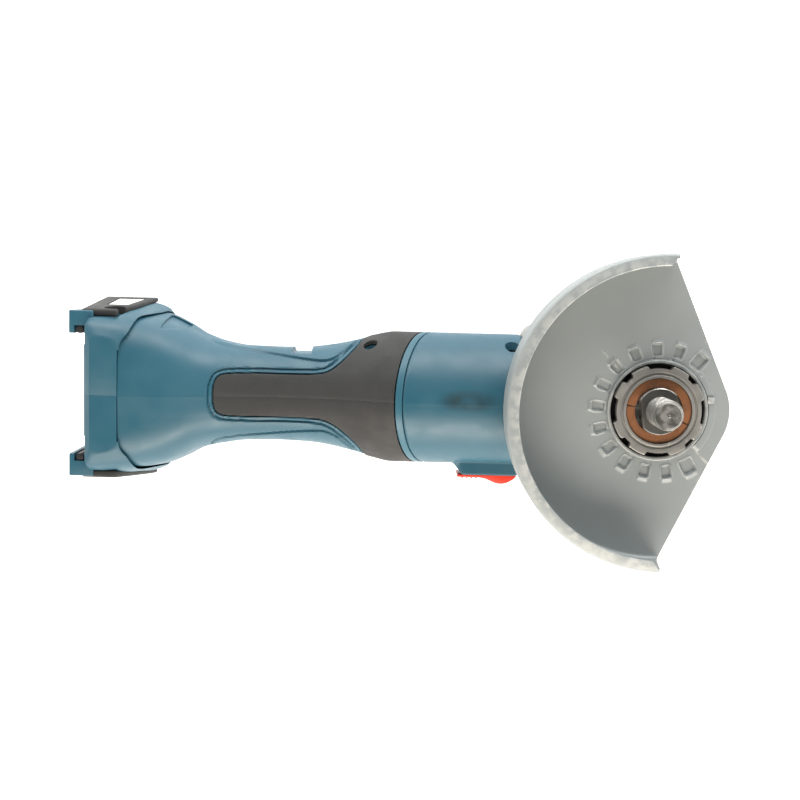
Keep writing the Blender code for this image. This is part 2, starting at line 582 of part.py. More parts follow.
def make_motor_housing():
    """Barrel round the motor, its rear end cut on the neck's lean, with the switch platform."""
    start, end = -140, HEAD_REAR_X - GAP
    barrel = motor_tube("motor_housing", start, end, 0.0, BODY_R, BLUE, 48)
    front = end - 0.4
    platform = prism("platform", [(-92, -26), (-86, -PLATFORM_Y), (front, -PLATFORM_Y), (front, -26)], 22, 42)
    barrel = join(barrel, platform)
    barrel = cut(barrel, motor_tube("bore", -150, -50, 0.0, BODY_R - BODY_WALL, sides=48))
    barrel = cut(barrel, neck_cutter("rear", 3.9, forward=False))
    slot = box("link_slot", (-84, -45, MOTOR_Z - 3.2), (-70, -20, MOTOR_Z + 3.2))
    x, z = HOUSING_SCREW
    hole = rod("screw_pocket", (x, 16, z), (x, 40, z), 3.4, sides=16)
    screw("housing_screw", (x, 21.6, z), (0, 1, 0), 2.8, 2.2, 1.3, 2.6)
    cut(barrel, slot, hole)


def make_switch():
    """Red slider on the platform, its link through the slot, and the micro switch behind it."""
    low = -PLATFORM_Y - GAP
    outline = [(-89, low - 1.4), (-89, low), (-60.5, low), (-60.5, low - 0.9), (-64, low - 3.5),
               (-68, low - 4.4), (-72, low - 3.5), (-77, low - 1.4)]
    slider = prism("switch_slider", outline, MOTOR_Z - 7, MOTOR_Z + 7, RED)
    stem = box("stem", (-82, low - 0.6, MOTOR_Z - 2.6), (-77, -26.9, MOTOR_Z + 2.6))
    join(slider, stem)
    link = [(-77, -26.5), (-77, -25.1), (-119.0, -25.1), (-123.6, -13.4), (-125.6, -13.4), (-125.6, -10.2),
            (-128.2, -10.2), (-128.2, -15.2), (-120.8, -26.5)]
    prism("switch_link", link, MOTOR_Z - 2.0, MOTOR_Z + 2.0, BLACK)
    wire("switch_spring", coil((-118.7, -11.4, MOTOR_Z), (-1, 0, 0), 1.2, 3, 6.2, 8), 0.2, STEEL)
    body = box("switch_body", (-154, -9, 22), (-133, 9, 40), BLACK, bevel=0.8)
    join(body, box("plunger", (-134, -13.4, 30.5), (-128.6, -6, 33.5)))


# ---------------------------------------------------------------- handle and foot
HANDLE_SECTIONS = (
    # x, half width, floor side, guard side, squareness, spread
    (-95.0, BODY_R, 0.5, 63.5, 2.0, 0.0),
    (-120.5, BODY_R, 0.5, 63.5, 2.0, 0.0),
    (-130.0, 29.8, 1.2, 61.4, 2.05, 0.0),
    (-140.0, 27.2, 3.0, 58.4, 2.15, 0.0),
    (-150.0, 25.0, 4.4, 55.6, 2.3, 0.0),
    (-160.0, 23.6, 5.0, 54.0, 2.4, 0.0),
    (-175.0, GRIP_HALF_WIDTH, 5.2, 53.4, 2.45, 0.0),
    (-190.0, 23.3, 4.8, 54.2, 2.5, 0.0),
    (-202.0, 25.0, 3.8, 56.2, 2.6, 0.03),
    (-212.0, 27.6, 2.6, 58.8, 2.9, 0.09),
    (-221.0, 32.0, 1.6, 61.2, 3.4, 0.11),
    (-231.0, 36.0, 0.8, 63.4, 3.8, 0.11),
    (-241.0, 37.6, 0.4, 64.6, 4.2, 0.10),
    (-252.0, 38.0, 0.2, 64.9, 4.4, 0.10),
)


def handle_body(name, inset, spec=None):
    rings = []
    for x, half_width, low, high, power, spread in HANDLE_SECTIONS:
        size = (half_width - inset, low + inset, high - inset)
        rings.append(ellipse_ring(x, *size, power, HANDLE_SIDES, spread))
    return loft(name, rings, spec)


def half_space(name, side):
    low, high = sorted((side * GAP / 2, side * 80))
    return box(name, (-300, low, -10), (20, high, 110))


def rubber_outline(margin):
    """Plan outline of the soft grip: a long tongue that widens into the neck collar."""
    tongue = 10.4 + margin
    upper = [(-106, 40), (-134.0 - margin, 40), (-131.5 - margin, 29.5), (-138 - margin, 22.0 + margin),
             (-143 - margin, 15.8 + margin), (-148, 11.6 + margin), (-153, tongue), (-199, tongue - 0.4),
             (-202.2 - margin, 8.6), (-203.4 - margin, 4.5)]
    lower = [(x, -y) for x, y in reversed(upper)]
    return upper + lower


def rubber_zone(name, margin):
    """The volume that the soft grip fills: the tongue on the guard side and all round the neck."""
    tongue = prism(name, rubber_outline(margin), MOTOR_Z, 90)
    rear = -131.5 - margin
    around = [(rear, -45), (-80, -45), (-80, 45), (rear, 45)]
    collar = prism(name + "_collar", around, -10, MOTOR_Z + 0.2)
    return join(tongue, collar)


def handle_screw_post(name, x, z, side, reach):
    """A post along Y that carries one of the screws that draw the two shells together."""
    low, high = sorted((side * GAP / 2, side * reach))
    return keep(rod(name, (x, low, z), (x, high, z), 5.0, sides=16), handle_body("under_skin", 2.6))


def make_handle():
    screw_x, screw_z = NECK_SCREW
    for name, side in (("left", 1), ("right", -1)):
        skin = handle_body("grip_rubber_" + name, 0.0, RUBBER_GREY)
        skin = keep(skin, rubber_zone("zone", 0.0), half_space("half", side))
        skin = cut(skin, handle_body("under", RUBBER), neck_cutter("front", 0.0, forward=True))
        shell = handle_body("handle_" + name, 0.0, BLUE)
        recess = cut(rubber_zone("recess", 0.5), handle_body("floor", RUBBER + GAP))
        shell = keep(cut(shell, recess), half_space("half", side))
        shell = cut(shell, handle_body("hollow", SHELL_INSET), neck_cutter("front", -0.2, forward=True))
        shell = cut(shell, box("rear_end", (-300, -60, -10), (FOOT_SEAM_X, 60, 90)))
        shell = join(shell, handle_screw_post("post", screw_x, screw_z, side, 22.0))
        start, end = (screw_x, side * -2, screw_z), (screw_x, side * 19, screw_z)
        shell = cut(shell, rod("pilot", start, end, 1.9, sides=10))
        if side == 1:
            seat, mouth = (screw_x, NECK_SCREW_SEAT_Y, screw_z), (screw_x, 40, screw_z)
            shell = cut(shell, rod("pocket", seat, mouth, 3.3, sides=16))
            shell = cut(shell, box("seam_notch", (-169.5, 20, 26), (-160, 30, 44)))
            skin = cut(skin, rod("pocket", seat, mouth, 3.3, sides=16))
    screw("neck_screw", (screw_x, NECK_SCREW_SEAT_Y + GAP, screw_z), (0, 1, 0), 2.9, 2.4, 1.5, 26)
    ring = handle_body("neck_ring", 0.0, PALE_BLUE)
    cut(ring, handle_body("inside", SHELL_INSET), neck_cutter("front", 3.6, forward=True),
        neck_cutter("back", GAP, forward=False))


FOOT_SECTIONS = (
    # z, half width, rear x, front x
    (0.0, 38.0, FOOT_REAR_X + 3.5, -224.5),
    (3.5, 41.4, FOOT_REAR_X + 0.6, -222.0),
    (12.0, 43.0, FOOT_REAR_X, -221.0),
    (34.0, 40.4, FOOT_REAR_X, -222.5),
    (52.0, 37.4, FOOT_REAR_X, -225.0),
    (61.5, 33.2, FOOT_REAR_X + 0.6, -231.0),
    (65.0, 27.0, FOOT_REAR_X + 4.0, -241.0),
)


def foot_body(name, spec=None):
    """Blunt block that wraps round the handle's flared end, its front corners drawn in."""
    rings = []
    for z, half, rear, front in FOOT_SECTIONS:
        length = min(FOOT_CORNER[0], front - rear - 4.0)
        depth = FOOT_CORNER[1]
        side = [(front - length + length * along, half - depth + depth * out)
                for along, out in FOOT_CORNER_CURVE]
        side += [(rear + 3.0 - 3.0 * math.sin(a), half - 3.0 + 3.0 * math.cos(a))
                 for a in (math.radians(d) for d in (0, 45, 90))]
        rings.append([(x, y, z) for x, y in side] + [(x, -y, z) for x, y in reversed(side)])
    return loft(name, rings, spec)


# x, z round a bumper, seen from the side
BUMPER_OUTLINE = ((-265.6, BUMPER_FOOT_Z), (-265.6, 56.5), (-249.5, 56.5), (-245.0, 40.0),
                  (-240.5, 18.0), (-239.5, BUMPER_FOOT_Z))
WINDOW_OUTLINE = ((-258.0, 14.0), (-258.0, 39.0), (-248.0, 39.0), (-244.5, 14.0))


def offset_outline(outline, margin):
    """A convex outline moved outwards by a margin."""
    moved = []
    for i, (bx, bz) in enumerate(outline):
        ax, az = outline[i - 1]
        cx, cz = outline[(i + 1) % len(outline)]
        before = Vector((az - bz, bx - ax)).normalized()
        after = Vector((bz - cz, cx - bx)).normalized()
        shift = (before + after) * (margin / (1 + before.dot(after)))
        moved.append((bx + shift.x, bz + shift.y))
    return moved


def bumper_outer(x, z):
    """How far out a bumper's face is: a leaning flat that curls in with the foot's front corner."""
    rise = z - BUMPER_FOOT_Z
    flat = FOOT_WIDEST + 0.9 - rise * (FOOT_LEAN - 0.025)
    into_corner = max(0.0, x + 249.0) / FOOT_CORNER[0]
    corner = FOOT_WIDEST - rise * FOOT_LEAN - 3.4 * into_corner
    return min(flat, corner + BUMPER_PROUD)


def bumper_panel(name, side, outline, inner, outer, spec=None):
    """A leaning slab on the bumper's face, its depths measured from that face."""
    rings = [[(x, side * (bumper_outer(x, z) + depth), z) for x, z in outline] for depth in (inner, outer)]
    return loft(name, rings, spec)


def bumper_solid(name, side, margin, spec=None):
    """Corner rubber let into the foot's side wall, up to where the wall turns over."""
    outline = offset_outline(BUMPER_OUTLINE, margin)
    floor = FOOT_WIDEST - BUMPER_DEPTH - margin
    inner = [(x, side * (floor - (z - BUMPER_FOOT_Z) * (FOOT_LEAN + 0.005)), z) for x, z in outline]
    outer = [(x, side * bumper_outer(x, z), z) for x, z in outline]
    return loft(name, [inner, outer], spec)


def flare_room(name):
    """The room that the handle's flared end needs inside the foot."""
    limit = box("limit", (FOOT_SEAM_X - GAP, -60, -10), (-150, 60, 90))
    return keep(handle_body(name, -GAP), limit)


def make_foot():
    screw_x, screw_z = FOOT_SCREW
    for name, side in (("left", 1), ("right", -1)):
        foot = foot_body("foot_" + name, BLUE)
        low, high = sorted((side * (21 + side * 2), side * 60))
        foot = cut(foot, box("rear_step", (-280, low, -5), (FOOT_REAR_X + FOOT_STEP, high, 70)))
        low, high = sorted((side * 28.0, side * 38.6))
        rail = box("rail", (RAIL_REAR_X, low, 8), (FOOT_REAR_X + 4, high, 58))
        low, high = sorted((side * 20.0, side * 31.6))
        slot = box("rail_slot", (RAIL_REAR_X + 2.4, low, 0), (FOOT_REAR_X, high, 60))
        foot = cut(join(foot, rail), slot)
        foot = keep(cut(foot, flare_room("flare")), half_space("half", side))
        low, high = sorted((side * -1, side * 22))
        foot = cut(foot, box("bay", (-262.2, low, 6), (FOOT_SEAM_X + 5, high, 43)))
        low, high = sorted((side * -1, side * 15.8))
        foot = cut(foot, box("window", (-275, low, 10), (-255, high, 40)), bumper_solid("seat", side, 0.4))
        start, end = (screw_x, side * -2, screw_z), (screw_x, side * 32, screw_z)
        foot = cut(foot, rod("pilot", start, end, 2.2, sides=10))
        if side == 1:
            seat, mouth = (screw_x, FOOT_SCREW_SEAT_Y, screw_z), (screw_x, 60, screw_z)
            foot = cut(foot, rod("pocket", seat, mouth, 4.2, sides=16))
        bumper = cut(bumper_solid("bumper_" + name, side, 0.0, RUBBER_GREY), flare_room("flare"))
        if side == 1:
            window = bumper_panel("window", side, WINDOW_OUTLINE, -1.0, 4.0)
            seat, mouth = (screw_x, FOOT_SCREW_SEAT_Y, screw_z), (screw_x, 60, screw_z)
            cut(bumper, window, rod("bite", seat, mouth, 5.0, sides=16))
            bumper_panel("bumper_plate", side, offset_outline(WINDOW_OUTLINE, -GAP), -0.8, -0.3, WHITE)
    screw("foot_screw", (screw_x, FOOT_SCREW_SEAT_Y + GAP, screw_z), (0, 1, 0), 3.6, 2.8, 1.8, 42)


def make_electrics():
    box("terminal_block", (-261.8, -15, 11), (-252, 15, 39), BLACK, bevel=0.8)
    for i in range(3):
        y = 9.0 * (i - 1)
        box("contact_" + str(i + 1), (-270, y - 0.5, 16), (-262.1, y + 0.5, 34), BRASS)
    box("control_module", (-238, -17, 14), (-214, 17, 40), BLACK, bevel=1.0)


# ---------------------------------------------------------------- build
for item in list(bpy.data.objects):
    bpy.data.objects.remove(item)
PARTS = new_collection("angle_grinder")
CUTTERS = new_collection("cutters")

make_guard()
make_bearing_flange()
make_spindle()
make_gears()
make_head()
make_head_fittings()
make_latch()
make_motor()
make_motor_housing()
make_switch()
make_handle()
make_foot()
make_electrics()
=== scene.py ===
"""Angle grinder, battery off, lying on its back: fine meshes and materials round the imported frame.

Lengths are in millimetres until a mesh is made, where MM turns them to metres.
"""
import math

import bmesh
import bpy
import numpy as np
from mathutils import Matrix, Vector


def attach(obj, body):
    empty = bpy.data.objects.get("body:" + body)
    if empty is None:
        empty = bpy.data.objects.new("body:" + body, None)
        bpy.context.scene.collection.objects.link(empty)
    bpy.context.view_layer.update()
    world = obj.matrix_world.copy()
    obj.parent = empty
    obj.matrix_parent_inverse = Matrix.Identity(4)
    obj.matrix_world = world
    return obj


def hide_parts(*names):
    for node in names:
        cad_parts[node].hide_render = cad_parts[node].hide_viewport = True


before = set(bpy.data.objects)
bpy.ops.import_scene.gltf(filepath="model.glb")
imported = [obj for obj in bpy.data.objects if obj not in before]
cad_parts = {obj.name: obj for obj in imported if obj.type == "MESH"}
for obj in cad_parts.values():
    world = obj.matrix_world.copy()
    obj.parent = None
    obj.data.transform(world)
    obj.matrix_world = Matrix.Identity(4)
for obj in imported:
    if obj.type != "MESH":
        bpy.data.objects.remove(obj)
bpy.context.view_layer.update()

MM = 0.001
GAP = 0.3
MOTOR_Z = 32.0
BODY_R = 31.5
BODY_WALL = 3.4
NECK_X = -107.5
NECK_SLOPE = 0.40
RUBBER = 1.7
RUBBER_EDGE = 0.7
SHELL_INSET = 4.0
HEAD_TOP = 57.0
HEAD_REAR_X = -60.0
FLANGE_TOP = 61.3
FOOT_SEAM_X = -247.0
FOOT_REAR_X = -263.8
RAIL_REAR_X = -271.0
CONTACT_PITCH = 9.0
PLATFORM_Y, PLATFORM_HALF = 36.0, 10.0
SIDES = (("left", 1), ("right", -1))
LATCH_DEG = 116.15
LATCH_PIVOT = (38.7, 60.0)
# side screws' and pockets' places, (x, z), all facing +Y
NECK_SCREW, NECK_SEAT_Y = (-132, 46), 14.0
BARREL_SCREW = (-65.5, 49)
FOOT_SCREW, FOOT_SEAT_Y = (-251.5, 50), 28.0
FLANGE_SCREWS = [(25.3 * math.cos(math.radians(a)), 25.3 * math.sin(math.radians(a)))
                 for a in (45, 135, 225, 315)]


# ---------------- small helpers
def smooth(low, high, value):
    """0 below low, 1 above high, eased between."""
    t = np.clip((value - low) / (high - low), 0.0, 1.0)
    return t * t * (3 - 2 * t)


def finish_piece(obj, nodes, mat, angle=35, body="frame"):
    obj.data.materials.clear()
    obj.data.materials.append(mat)
    obj.data.shade_smooth()
    obj.data.set_sharp_from_angle(angle=math.radians(angle))
    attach(obj, body)
    if nodes:
        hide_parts(*nodes)
    return obj


def add_object(name, data):
    obj = bpy.data.objects.new(name, data)
    bpy.context.scene.collection.objects.link(obj)
    return obj


def from_bmesh(name, shape):
    mesh = bpy.data.meshes.new(name)
    bmesh.ops.recalc_face_normals(shape, faces=shape.faces)
    shape.to_mesh(mesh)
    shape.free()
    return add_object(name, mesh)


def raw_object(name, verts, faces):
    mesh = bpy.data.meshes.new(name)
    points = [tuple(float(c) * MM for c in v) for v in verts]
    mesh.from_pydata(points, [], [tuple(int(i) for i in f) for f in faces])
    shape = bmesh.new()
    shape.from_mesh(mesh)
    bpy.data.meshes.remove(mesh)
    bmesh.ops.remove_doubles(shape, verts=shape.verts, dist=1e-7)
    return from_bmesh(name, shape)


def grid_faces(rows, columns, first=0, wrap_u=False, wrap_v=False):
    """Quads of a rows x columns lattice of vertices."""
    faces = []
    for i in range(rows if wrap_u else rows - 1):
        for j in range(columns if wrap_v else columns - 1):
            a = first + i * columns + j
            b = first + i * columns + (j + 1) % columns
            c = first + ((i + 1) % rows) * columns + (j + 1) % columns
            d = first + ((i + 1) % rows) * columns + j
            faces.append((a, b, c, d))
    return faces


def fillet(profile, radius, steps=4, closed=True):
    """Round the corners of a (radius, height) outline; radius may be a number or one per point."""
    out = []
    count = len(profile)
    for i, point in enumerate(profile):
        r = radius[i] if isinstance(radius, (list, tuple)) else radius
        p = np.array(point, float)
        a = np.array(profile[i - 1], float)
        b = np.array(profile[(i + 1) % count], float)
        if r <= 0 or (not closed and i in (0, count - 1)) or p[0] <= 1e-6:
            out.append(tuple(p))
            continue
        da, db = a - p, b - p
        la, lb = np.linalg.norm(da), np.linalg.norm(db)
        da, db = da / la, db / lb
        cosine = float(np.clip(da @ db, -1, 1))
        half = math.acos(cosine) / 2
        if half > math.radians(85) or half < math.radians(3):
            out.append(tuple(p))
            continue
        reach = min(r / math.tan(half), la * 0.45, lb * 0.45)
        start, end = p + da * reach, p + db * reach
        for k in range(steps + 1):
            t = k / steps
            out.append(tuple((1 - t) ** 2 * start + 2 * t * (1 - t) * p + t * t * end))
    return out


def revolve(name, profile, segments=160, warp=None, frame_to=None, arc=None):
    """Spin a closed (r, z) outline about Z. warp(r, z, angle) may return new r and z."""
    r = np.array([p[0] for p in profile])
    z = np.array([p[1] for p in profile])
    if arc is None:
        angle = np.arange(segments) * 2 * np.pi / segments
    else:
        angle = np.linspace(arc[0], arc[1], segments)
    R, A = np.meshgrid(r, angle, indexing="ij")
    Z = np.repeat(z[:, None], len(angle), axis=1)
    if warp:
        R, Z = warp(R, Z, A)
    V = np.stack([R * np.cos(A), R * np.sin(A), Z], axis=-1).reshape(-1, 3)
    faces = grid_faces(len(r), len(angle), wrap_u=True, wrap_v=arc is None)
    if arc is not None:
        faces.append(tuple(i * len(angle) for i in range(len(r))))
        faces.append(tuple(i * len(angle) + len(angle) - 1 for i in reversed(range(len(r)))))
    if frame_to is not None:
        M = np.array(frame_to)
        V = V @ M[:3, :3].T + M[:3, 3]
    on_axis = [f for f in faces if not all(abs(V[i][0]) < 1e-9 and abs(V[i][1]) < 1e-9 for i in f)]
    return raw_object(name, V, on_axis if frame_to is None else faces)


def axis_frame(axis, at):
    turn = Vector((0, 0, 1)).rotation_difference(Vector(axis)).to_matrix().to_4x4()
    return Matrix.Translation(at) @ turn


def bevel_edges(shape, bevel, segments):
    if bevel:
        bmesh.ops.bevel(shape, geom=shape.edges[:], offset=bevel, segments=segments, profile=0.5,
                        affect="EDGES")


def rounded_box(name, low, high, bevel=0.5, segments=3, turn=0.0):
    shape = bmesh.new()
    bmesh.ops.create_cube(shape, size=1.0)
    size = [b - a for a, b in zip(low, high)]
    middle = [(a + b) / 2 for a, b in zip(low, high)]
    bmesh.ops.transform(shape, matrix=Matrix.Diagonal((*size, 1.0)), verts=shape.verts)
    bevel_edges(shape, bevel, segments)
    place = Matrix.Scale(MM, 4) @ Matrix.Rotation(math.radians(turn), 4, "Z") @ Matrix.Translation(middle)
    bmesh.ops.transform(shape, matrix=place, verts=shape.verts)
    return from_bmesh(name, shape)


def side_box(name, side, xs, ys, zs, bevel=0.0):
    """A box whose ys are given for the +Y side and mirrored where side is -1."""
    low, high = sorted((side * ys[0], side * ys[1]))
    return rounded_box(name, (xs[0], low, zs[0]), (xs[1], high, zs[1]), bevel)


def prism(name, outline, low, high, axis="Z", bevel=0.0, segments=2):
    """A flat outline raised along Z or Y."""
    shape = bmesh.new()
    if axis == "Z":
        points = [(x, y, low) for x, y in outline]
        step = (0, 0, high - low)
    else:
        points = [(x, low, z) for x, z in outline]
        step = (0, high - low, 0)
    face = shape.faces.new([shape.verts.new(p) for p in points])
    raised = bmesh.ops.extrude_face_region(shape, geom=[face])
    top = [g for g in raised["geom"] if isinstance(g, bmesh.types.BMVert)]
    bmesh.ops.translate(shape, verts=top, vec=step)
    bmesh.ops.recalc_face_normals(shape, faces=shape.faces)
    bevel_edges(shape, bevel, segments)
    bmesh.ops.transform(shape, matrix=Matrix.Scale(MM, 4), verts=shape.verts)
    return from_bmesh(name, shape)


def rod(name, start, end, radius, segments=48, round_off=0.3):
    run = Vector(end) - Vector(start)
    profile = fillet([(0, 0), (radius, 0), (radius, run.length), (0, run.length)], round_off)
    return revolve(name, profile, segments, frame_to=axis_frame(run.normalized(), start))


def side_rod(name, place, low, high, radius, **more):
    """A rod along Y at a side screw's (x, z)."""
    x, z = place
    return rod(name, (x, low, z), (x, high, z), radius, **more)


def bake_modifier(obj, kind, **values):
    step = obj.modifiers.new("step", kind)
    for key, value in values.items():
        setattr(step, key, value)
    evaluated = obj.evaluated_get(bpy.context.evaluated_depsgraph_get())
    result = bpy.data.meshes.new_from_object(evaluated)
    obj.modifiers.clear()
    old = obj.data
    obj.data = result
    bpy.data.meshes.remove(old)
    return obj


def combine(target, tools, operation):
    for tool in tools:
        bake_modifier(target, "BOOLEAN", operation=operation, solver="EXACT", object=tool)
        bpy.data.objects.remove(tool)
    return target


def cut(target, *tools):
    return combine(target, tools, "DIFFERENCE")


def join(target, *tools):
    return combine(target, tools, "UNION")


def keep(target, *tools):
    return combine(target, tools, "INTERSECT")


def soften(obj, width, segments=2, angle=38):
    """Round off an object's sharp edges."""
    return bake_modifier(obj, "BEVEL", width=width * MM, segments=segments, limit_method="ANGLE",
                         angle_limit=math.radians(angle), use_clamp_overlap=True, harden_normals=False)


def cast_over(obj, voxel, rounds):
    """Remesh and relax, which rounds every edge as a casting's are."""
    bake_modifier(obj, "REMESH", mode="VOXEL", voxel_size=voxel * MM)
    return bake_modifier(obj, "SMOOTH", factor=0.5, iterations=rounds)


def merge(name, objects):
    """One object from several that don't touch."""
    shape = bmesh.new()
    for obj in objects:
        shape.from_mesh(obj.data)
        bpy.data.objects.remove(obj)
    return from_bmesh(name, shape)


# ---------------- materials
def set_inputs(node, values):
    for key, value in values.items():
        node.inputs[key].default_value = value


def map_range(nodes, links, value, numbers, kind="SMOOTHSTEP"):
    """numbers are from low, from high, to low, to high."""
    made = nodes.new("ShaderNodeMapRange")
    made.interpolation_type = kind
    set_inputs(made, dict(zip(("From Min", "From Max", "To Min", "To Max"), numbers)))
    links.new(value, made.inputs["Value"])
    return made.outputs["Result"]


def multiply(nodes, links, first, other):
    made = nodes.new("ShaderNodeMath")
    made.operation = "MULTIPLY"
    links.new(first, made.inputs[0])
    links.new(other, made.inputs[1])
    return made.outputs[0]


def material(name, colour, rough, metal=0.0, grain=(2600, 0.04), tone=0.10, patches=18.0, wear=None,
             second=None, spread=None, specular=0.5, crease_shade=None):
    """A surface with fine grain in its bump, slow colour and gloss variation, worn edges and painted shade in
    hollow lines.

    wear is (colour, strength), on edges; crease_shade is (colour, strength), painted shade that darkens
    hollow lines; second is (colour, scale, low, high), specks of another colour; spread is (low, high), the
    roughness range.
    """
    mat = bpy.data.materials.new(name)
    mat.use_nodes = True
    nodes, links = mat.node_tree.nodes, mat.node_tree.links
    shader = nodes["Principled BSDF"]
    coords = nodes.new("ShaderNodeTexCoord").outputs["Object"]

    def noise(scale, detail=4.0, roughness=0.55):
        made = nodes.new("ShaderNodeTexNoise")
        set_inputs(made, {"Scale": scale, "Detail": detail, "Roughness": roughness})
        links.new(coords, made.inputs["Vector"])
        return made.outputs["Fac"]

    def ramp(value, low, high, to_low=0.0, to_high=1.0):
        return map_range(nodes, links, value, (low, high, to_low, to_high))

    def mix(factor, first, other):
        made = nodes.new("ShaderNodeMix")
        made.data_type = "RGBA"
        links.new(factor, made.inputs["Factor"])
        for key, value in (("A", first), ("B", other)):
            socket = [s for s in made.inputs if s.name == key and s.type == "RGBA"][0]
            if isinstance(value, (tuple, list)):
                socket.default_value = (*value, 1.0)
            else:
                links.new(value, socket)
        return [s for s in made.outputs if s.type == "RGBA"][0]

    darker = tuple(c * (1 - tone) for c in colour)
    lighter = tuple(min(1.0, c * (1 + tone)) for c in colour)
    shade = mix(ramp(noise(patches), 0.35, 0.65), darker, lighter)
    if second:
        tint, scale, low, high = second
        shade = mix(ramp(noise(scale, 6.0, 0.65), low, high), shade, tint)
    if wear:
        edge = nodes.new("ShaderNodeNewGeometry").outputs["Pointiness"]
        worn = ramp(edge, 0.515, 0.56, 0.0, wear[1])
        shade = mix(multiply(nodes, links, worn, ramp(noise(240, 5.0), 0.38, 0.62)), shade, wear[0])
    # painted shade: where the surface is hollow (low pointiness), a darker colour is mixed in
    if crease_shade:
        hollow = nodes.new("ShaderNodeNewGeometry").outputs["Pointiness"]
        shade = mix(ramp(hollow, 0.40, 0.487, crease_shade[1], 0.0), shade, crease_shade[0])
    links.new(shade, shader.inputs["Base Color"])
    low, high = spread or (rough - 0.06, rough + 0.08)
    links.new(ramp(noise(90, 5.0), 0.3, 0.7, low, high), shader.inputs["Roughness"])
    set_inputs(shader, {"Metallic": metal, "Specular IOR Level": specular})
    bump = nodes.new("ShaderNodeBump")
    set_inputs(bump, {"Strength": 1.0, "Distance": grain[1] * MM})
    links.new(noise(grain[0], 3.0), bump.inputs["Height"])
    links.new(bump.outputs["Normal"], shader.inputs["Normal"])
    mat.diffuse_color = (*colour, 1.0)
    return mat, dict(nodes=nodes, links=links, shader=shader, coords=coords, noise=noise, ramp=ramp, mix=mix,
                     shade=shade)


def darken_below(kit, low, high, dark):
    """Painted shadow in the gap between collar and guard: below a height, in metres, the colour is mixed
    towards a dark one.
    """
    split = kit["nodes"].new("ShaderNodeSeparateXYZ")
    kit["links"].new(kit["coords"], split.inputs[0])
    shade = kit["mix"](kit["ramp"](split.outputs["Z"], low, high), dark, kit["shade"])
    kit["links"].new(shade, kit["shader"].inputs["Base Color"])


def make_barrel_material():
    """The body's blue with grey smudges of handling where the guard hand rests."""
    mat, kit = material("blue_barrel", BLUE_COLOUR, 0.42, grain=(2400, 0.05), tone=0.05)
    nodes, links = kit["nodes"], kit["links"]
    place = nodes.new("ShaderNodeMapping")
    place.vector_type = "TEXTURE"
    set_inputs(place, {"Location": (-0.0860, 0.0015, 0.062), "Scale": (0.017, 0.0065, 0.02)})
    links.new(kit["coords"], place.inputs["Vector"])
    ball = nodes.new("ShaderNodeTexGradient")
    ball.gradient_type = "SPHERICAL"
    links.new(place.outputs["Vector"], ball.inputs["Vector"])
    patch = kit["ramp"](ball.outputs["Fac"], 0.0, 0.7)
    broken = kit["ramp"](kit["noise"](55, 4.0, 0.5), 0.30, 0.62, 0.15, 0.85)
    shade = kit["mix"](multiply(nodes, links, patch, broken), kit["shade"], (0.013, 0.024, 0.028))
    links.new(shade, kit["shader"].inputs["Base Color"])
    return mat


BLUE_COLOUR = (0.019, 0.090, 0.130)
# blue_body carries painted shade: darker blue in the hollow lines of the handle shells and foot
BLUE, _ = material("blue_body", BLUE_COLOUR, 0.42, grain=(2400, 0.05), tone=0.05,
                   crease_shade=((0.008, 0.035, 0.05), 0.85))
BLUE_BARREL = make_barrel_material()
PALE, _ = material("blue_pale", (0.026, 0.108, 0.150), 0.42, grain=(2400, 0.05), tone=0.05)
RUBBER_MAT, _ = material("rubber_grip", (0.028, 0.029, 0.028), 0.70, grain=(1500, 0.09), tone=0.07,
                         spread=(0.56, 0.72), second=((0.036, 0.035, 0.033), 40, 0.50, 0.80), specular=0.38)
RED, _ = material("switch_red", (0.80, 0.045, 0.022), 0.36, grain=(2200, 0.03), tone=0.04)
GUARD, _ = material("guard_sheet", (0.285, 0.310, 0.308), 0.50, metal=0.36, grain=(1900, 0.035), tone=0.012,
                    spread=(0.50, 0.54), wear=((0.62, 0.62, 0.58), 0.5))
CAST, _ = material("alloy_cast", (0.42, 0.41, 0.385), 0.50, metal=0.75, grain=(1500, 0.07), tone=0.07,
                   spread=(0.42, 0.60))
COLLAR, COLLAR_KIT = material("alloy_collar", (0.34, 0.335, 0.312), 0.40, metal=0.7, grain=(2600, 0.03),
                              tone=0.07, second=((0.30, 0.28, 0.25), 130, 0.56, 0.75),
                              wear=((0.75, 0.73, 0.68), 0.6))
# painted shadow: the collar's notches and the gap under it turn near black
darken_below(COLLAR_KIT, 0.0660, 0.0680, (0.012, 0.012, 0.012))
STEEL, _ = material("steel_turned", (0.20, 0.195, 0.182), 0.32, metal=0.9, grain=(3200, 0.02), tone=0.06,
                    wear=((0.80, 0.78, 0.73), 0.6), second=((0.13, 0.125, 0.115), 200, 0.60, 0.78))
COPPER, _ = material("copper_ring", (0.36, 0.155, 0.07), 0.42, metal=0.65, grain=(2600, 0.03), tone=0.12,
                     second=((0.17, 0.095, 0.06), 160, 0.50, 0.72))
BRASS, _ = material("brass_blade", (0.62, 0.46, 0.20), 0.30, metal=1.0, grain=(3000, 0.015), tone=0.05)
BLACK, _ = material("plastic_black", (0.018, 0.018, 0.019), 0.48, grain=(2200, 0.05), tone=0.10)
IRON, _ = material("iron_laminated", (0.20, 0.19, 0.18), 0.50, metal=0.8, grain=(2400, 0.05), tone=0.08)
WHITE, _ = material("plate_blank", (0.78, 0.78, 0.74), 0.45, grain=(2000, 0.02), tone=0.02)
MAGNET, _ = material("magnet_grey", (0.05, 0.05, 0.052), 0.55, grain=(1500, 0.06), tone=0.08)

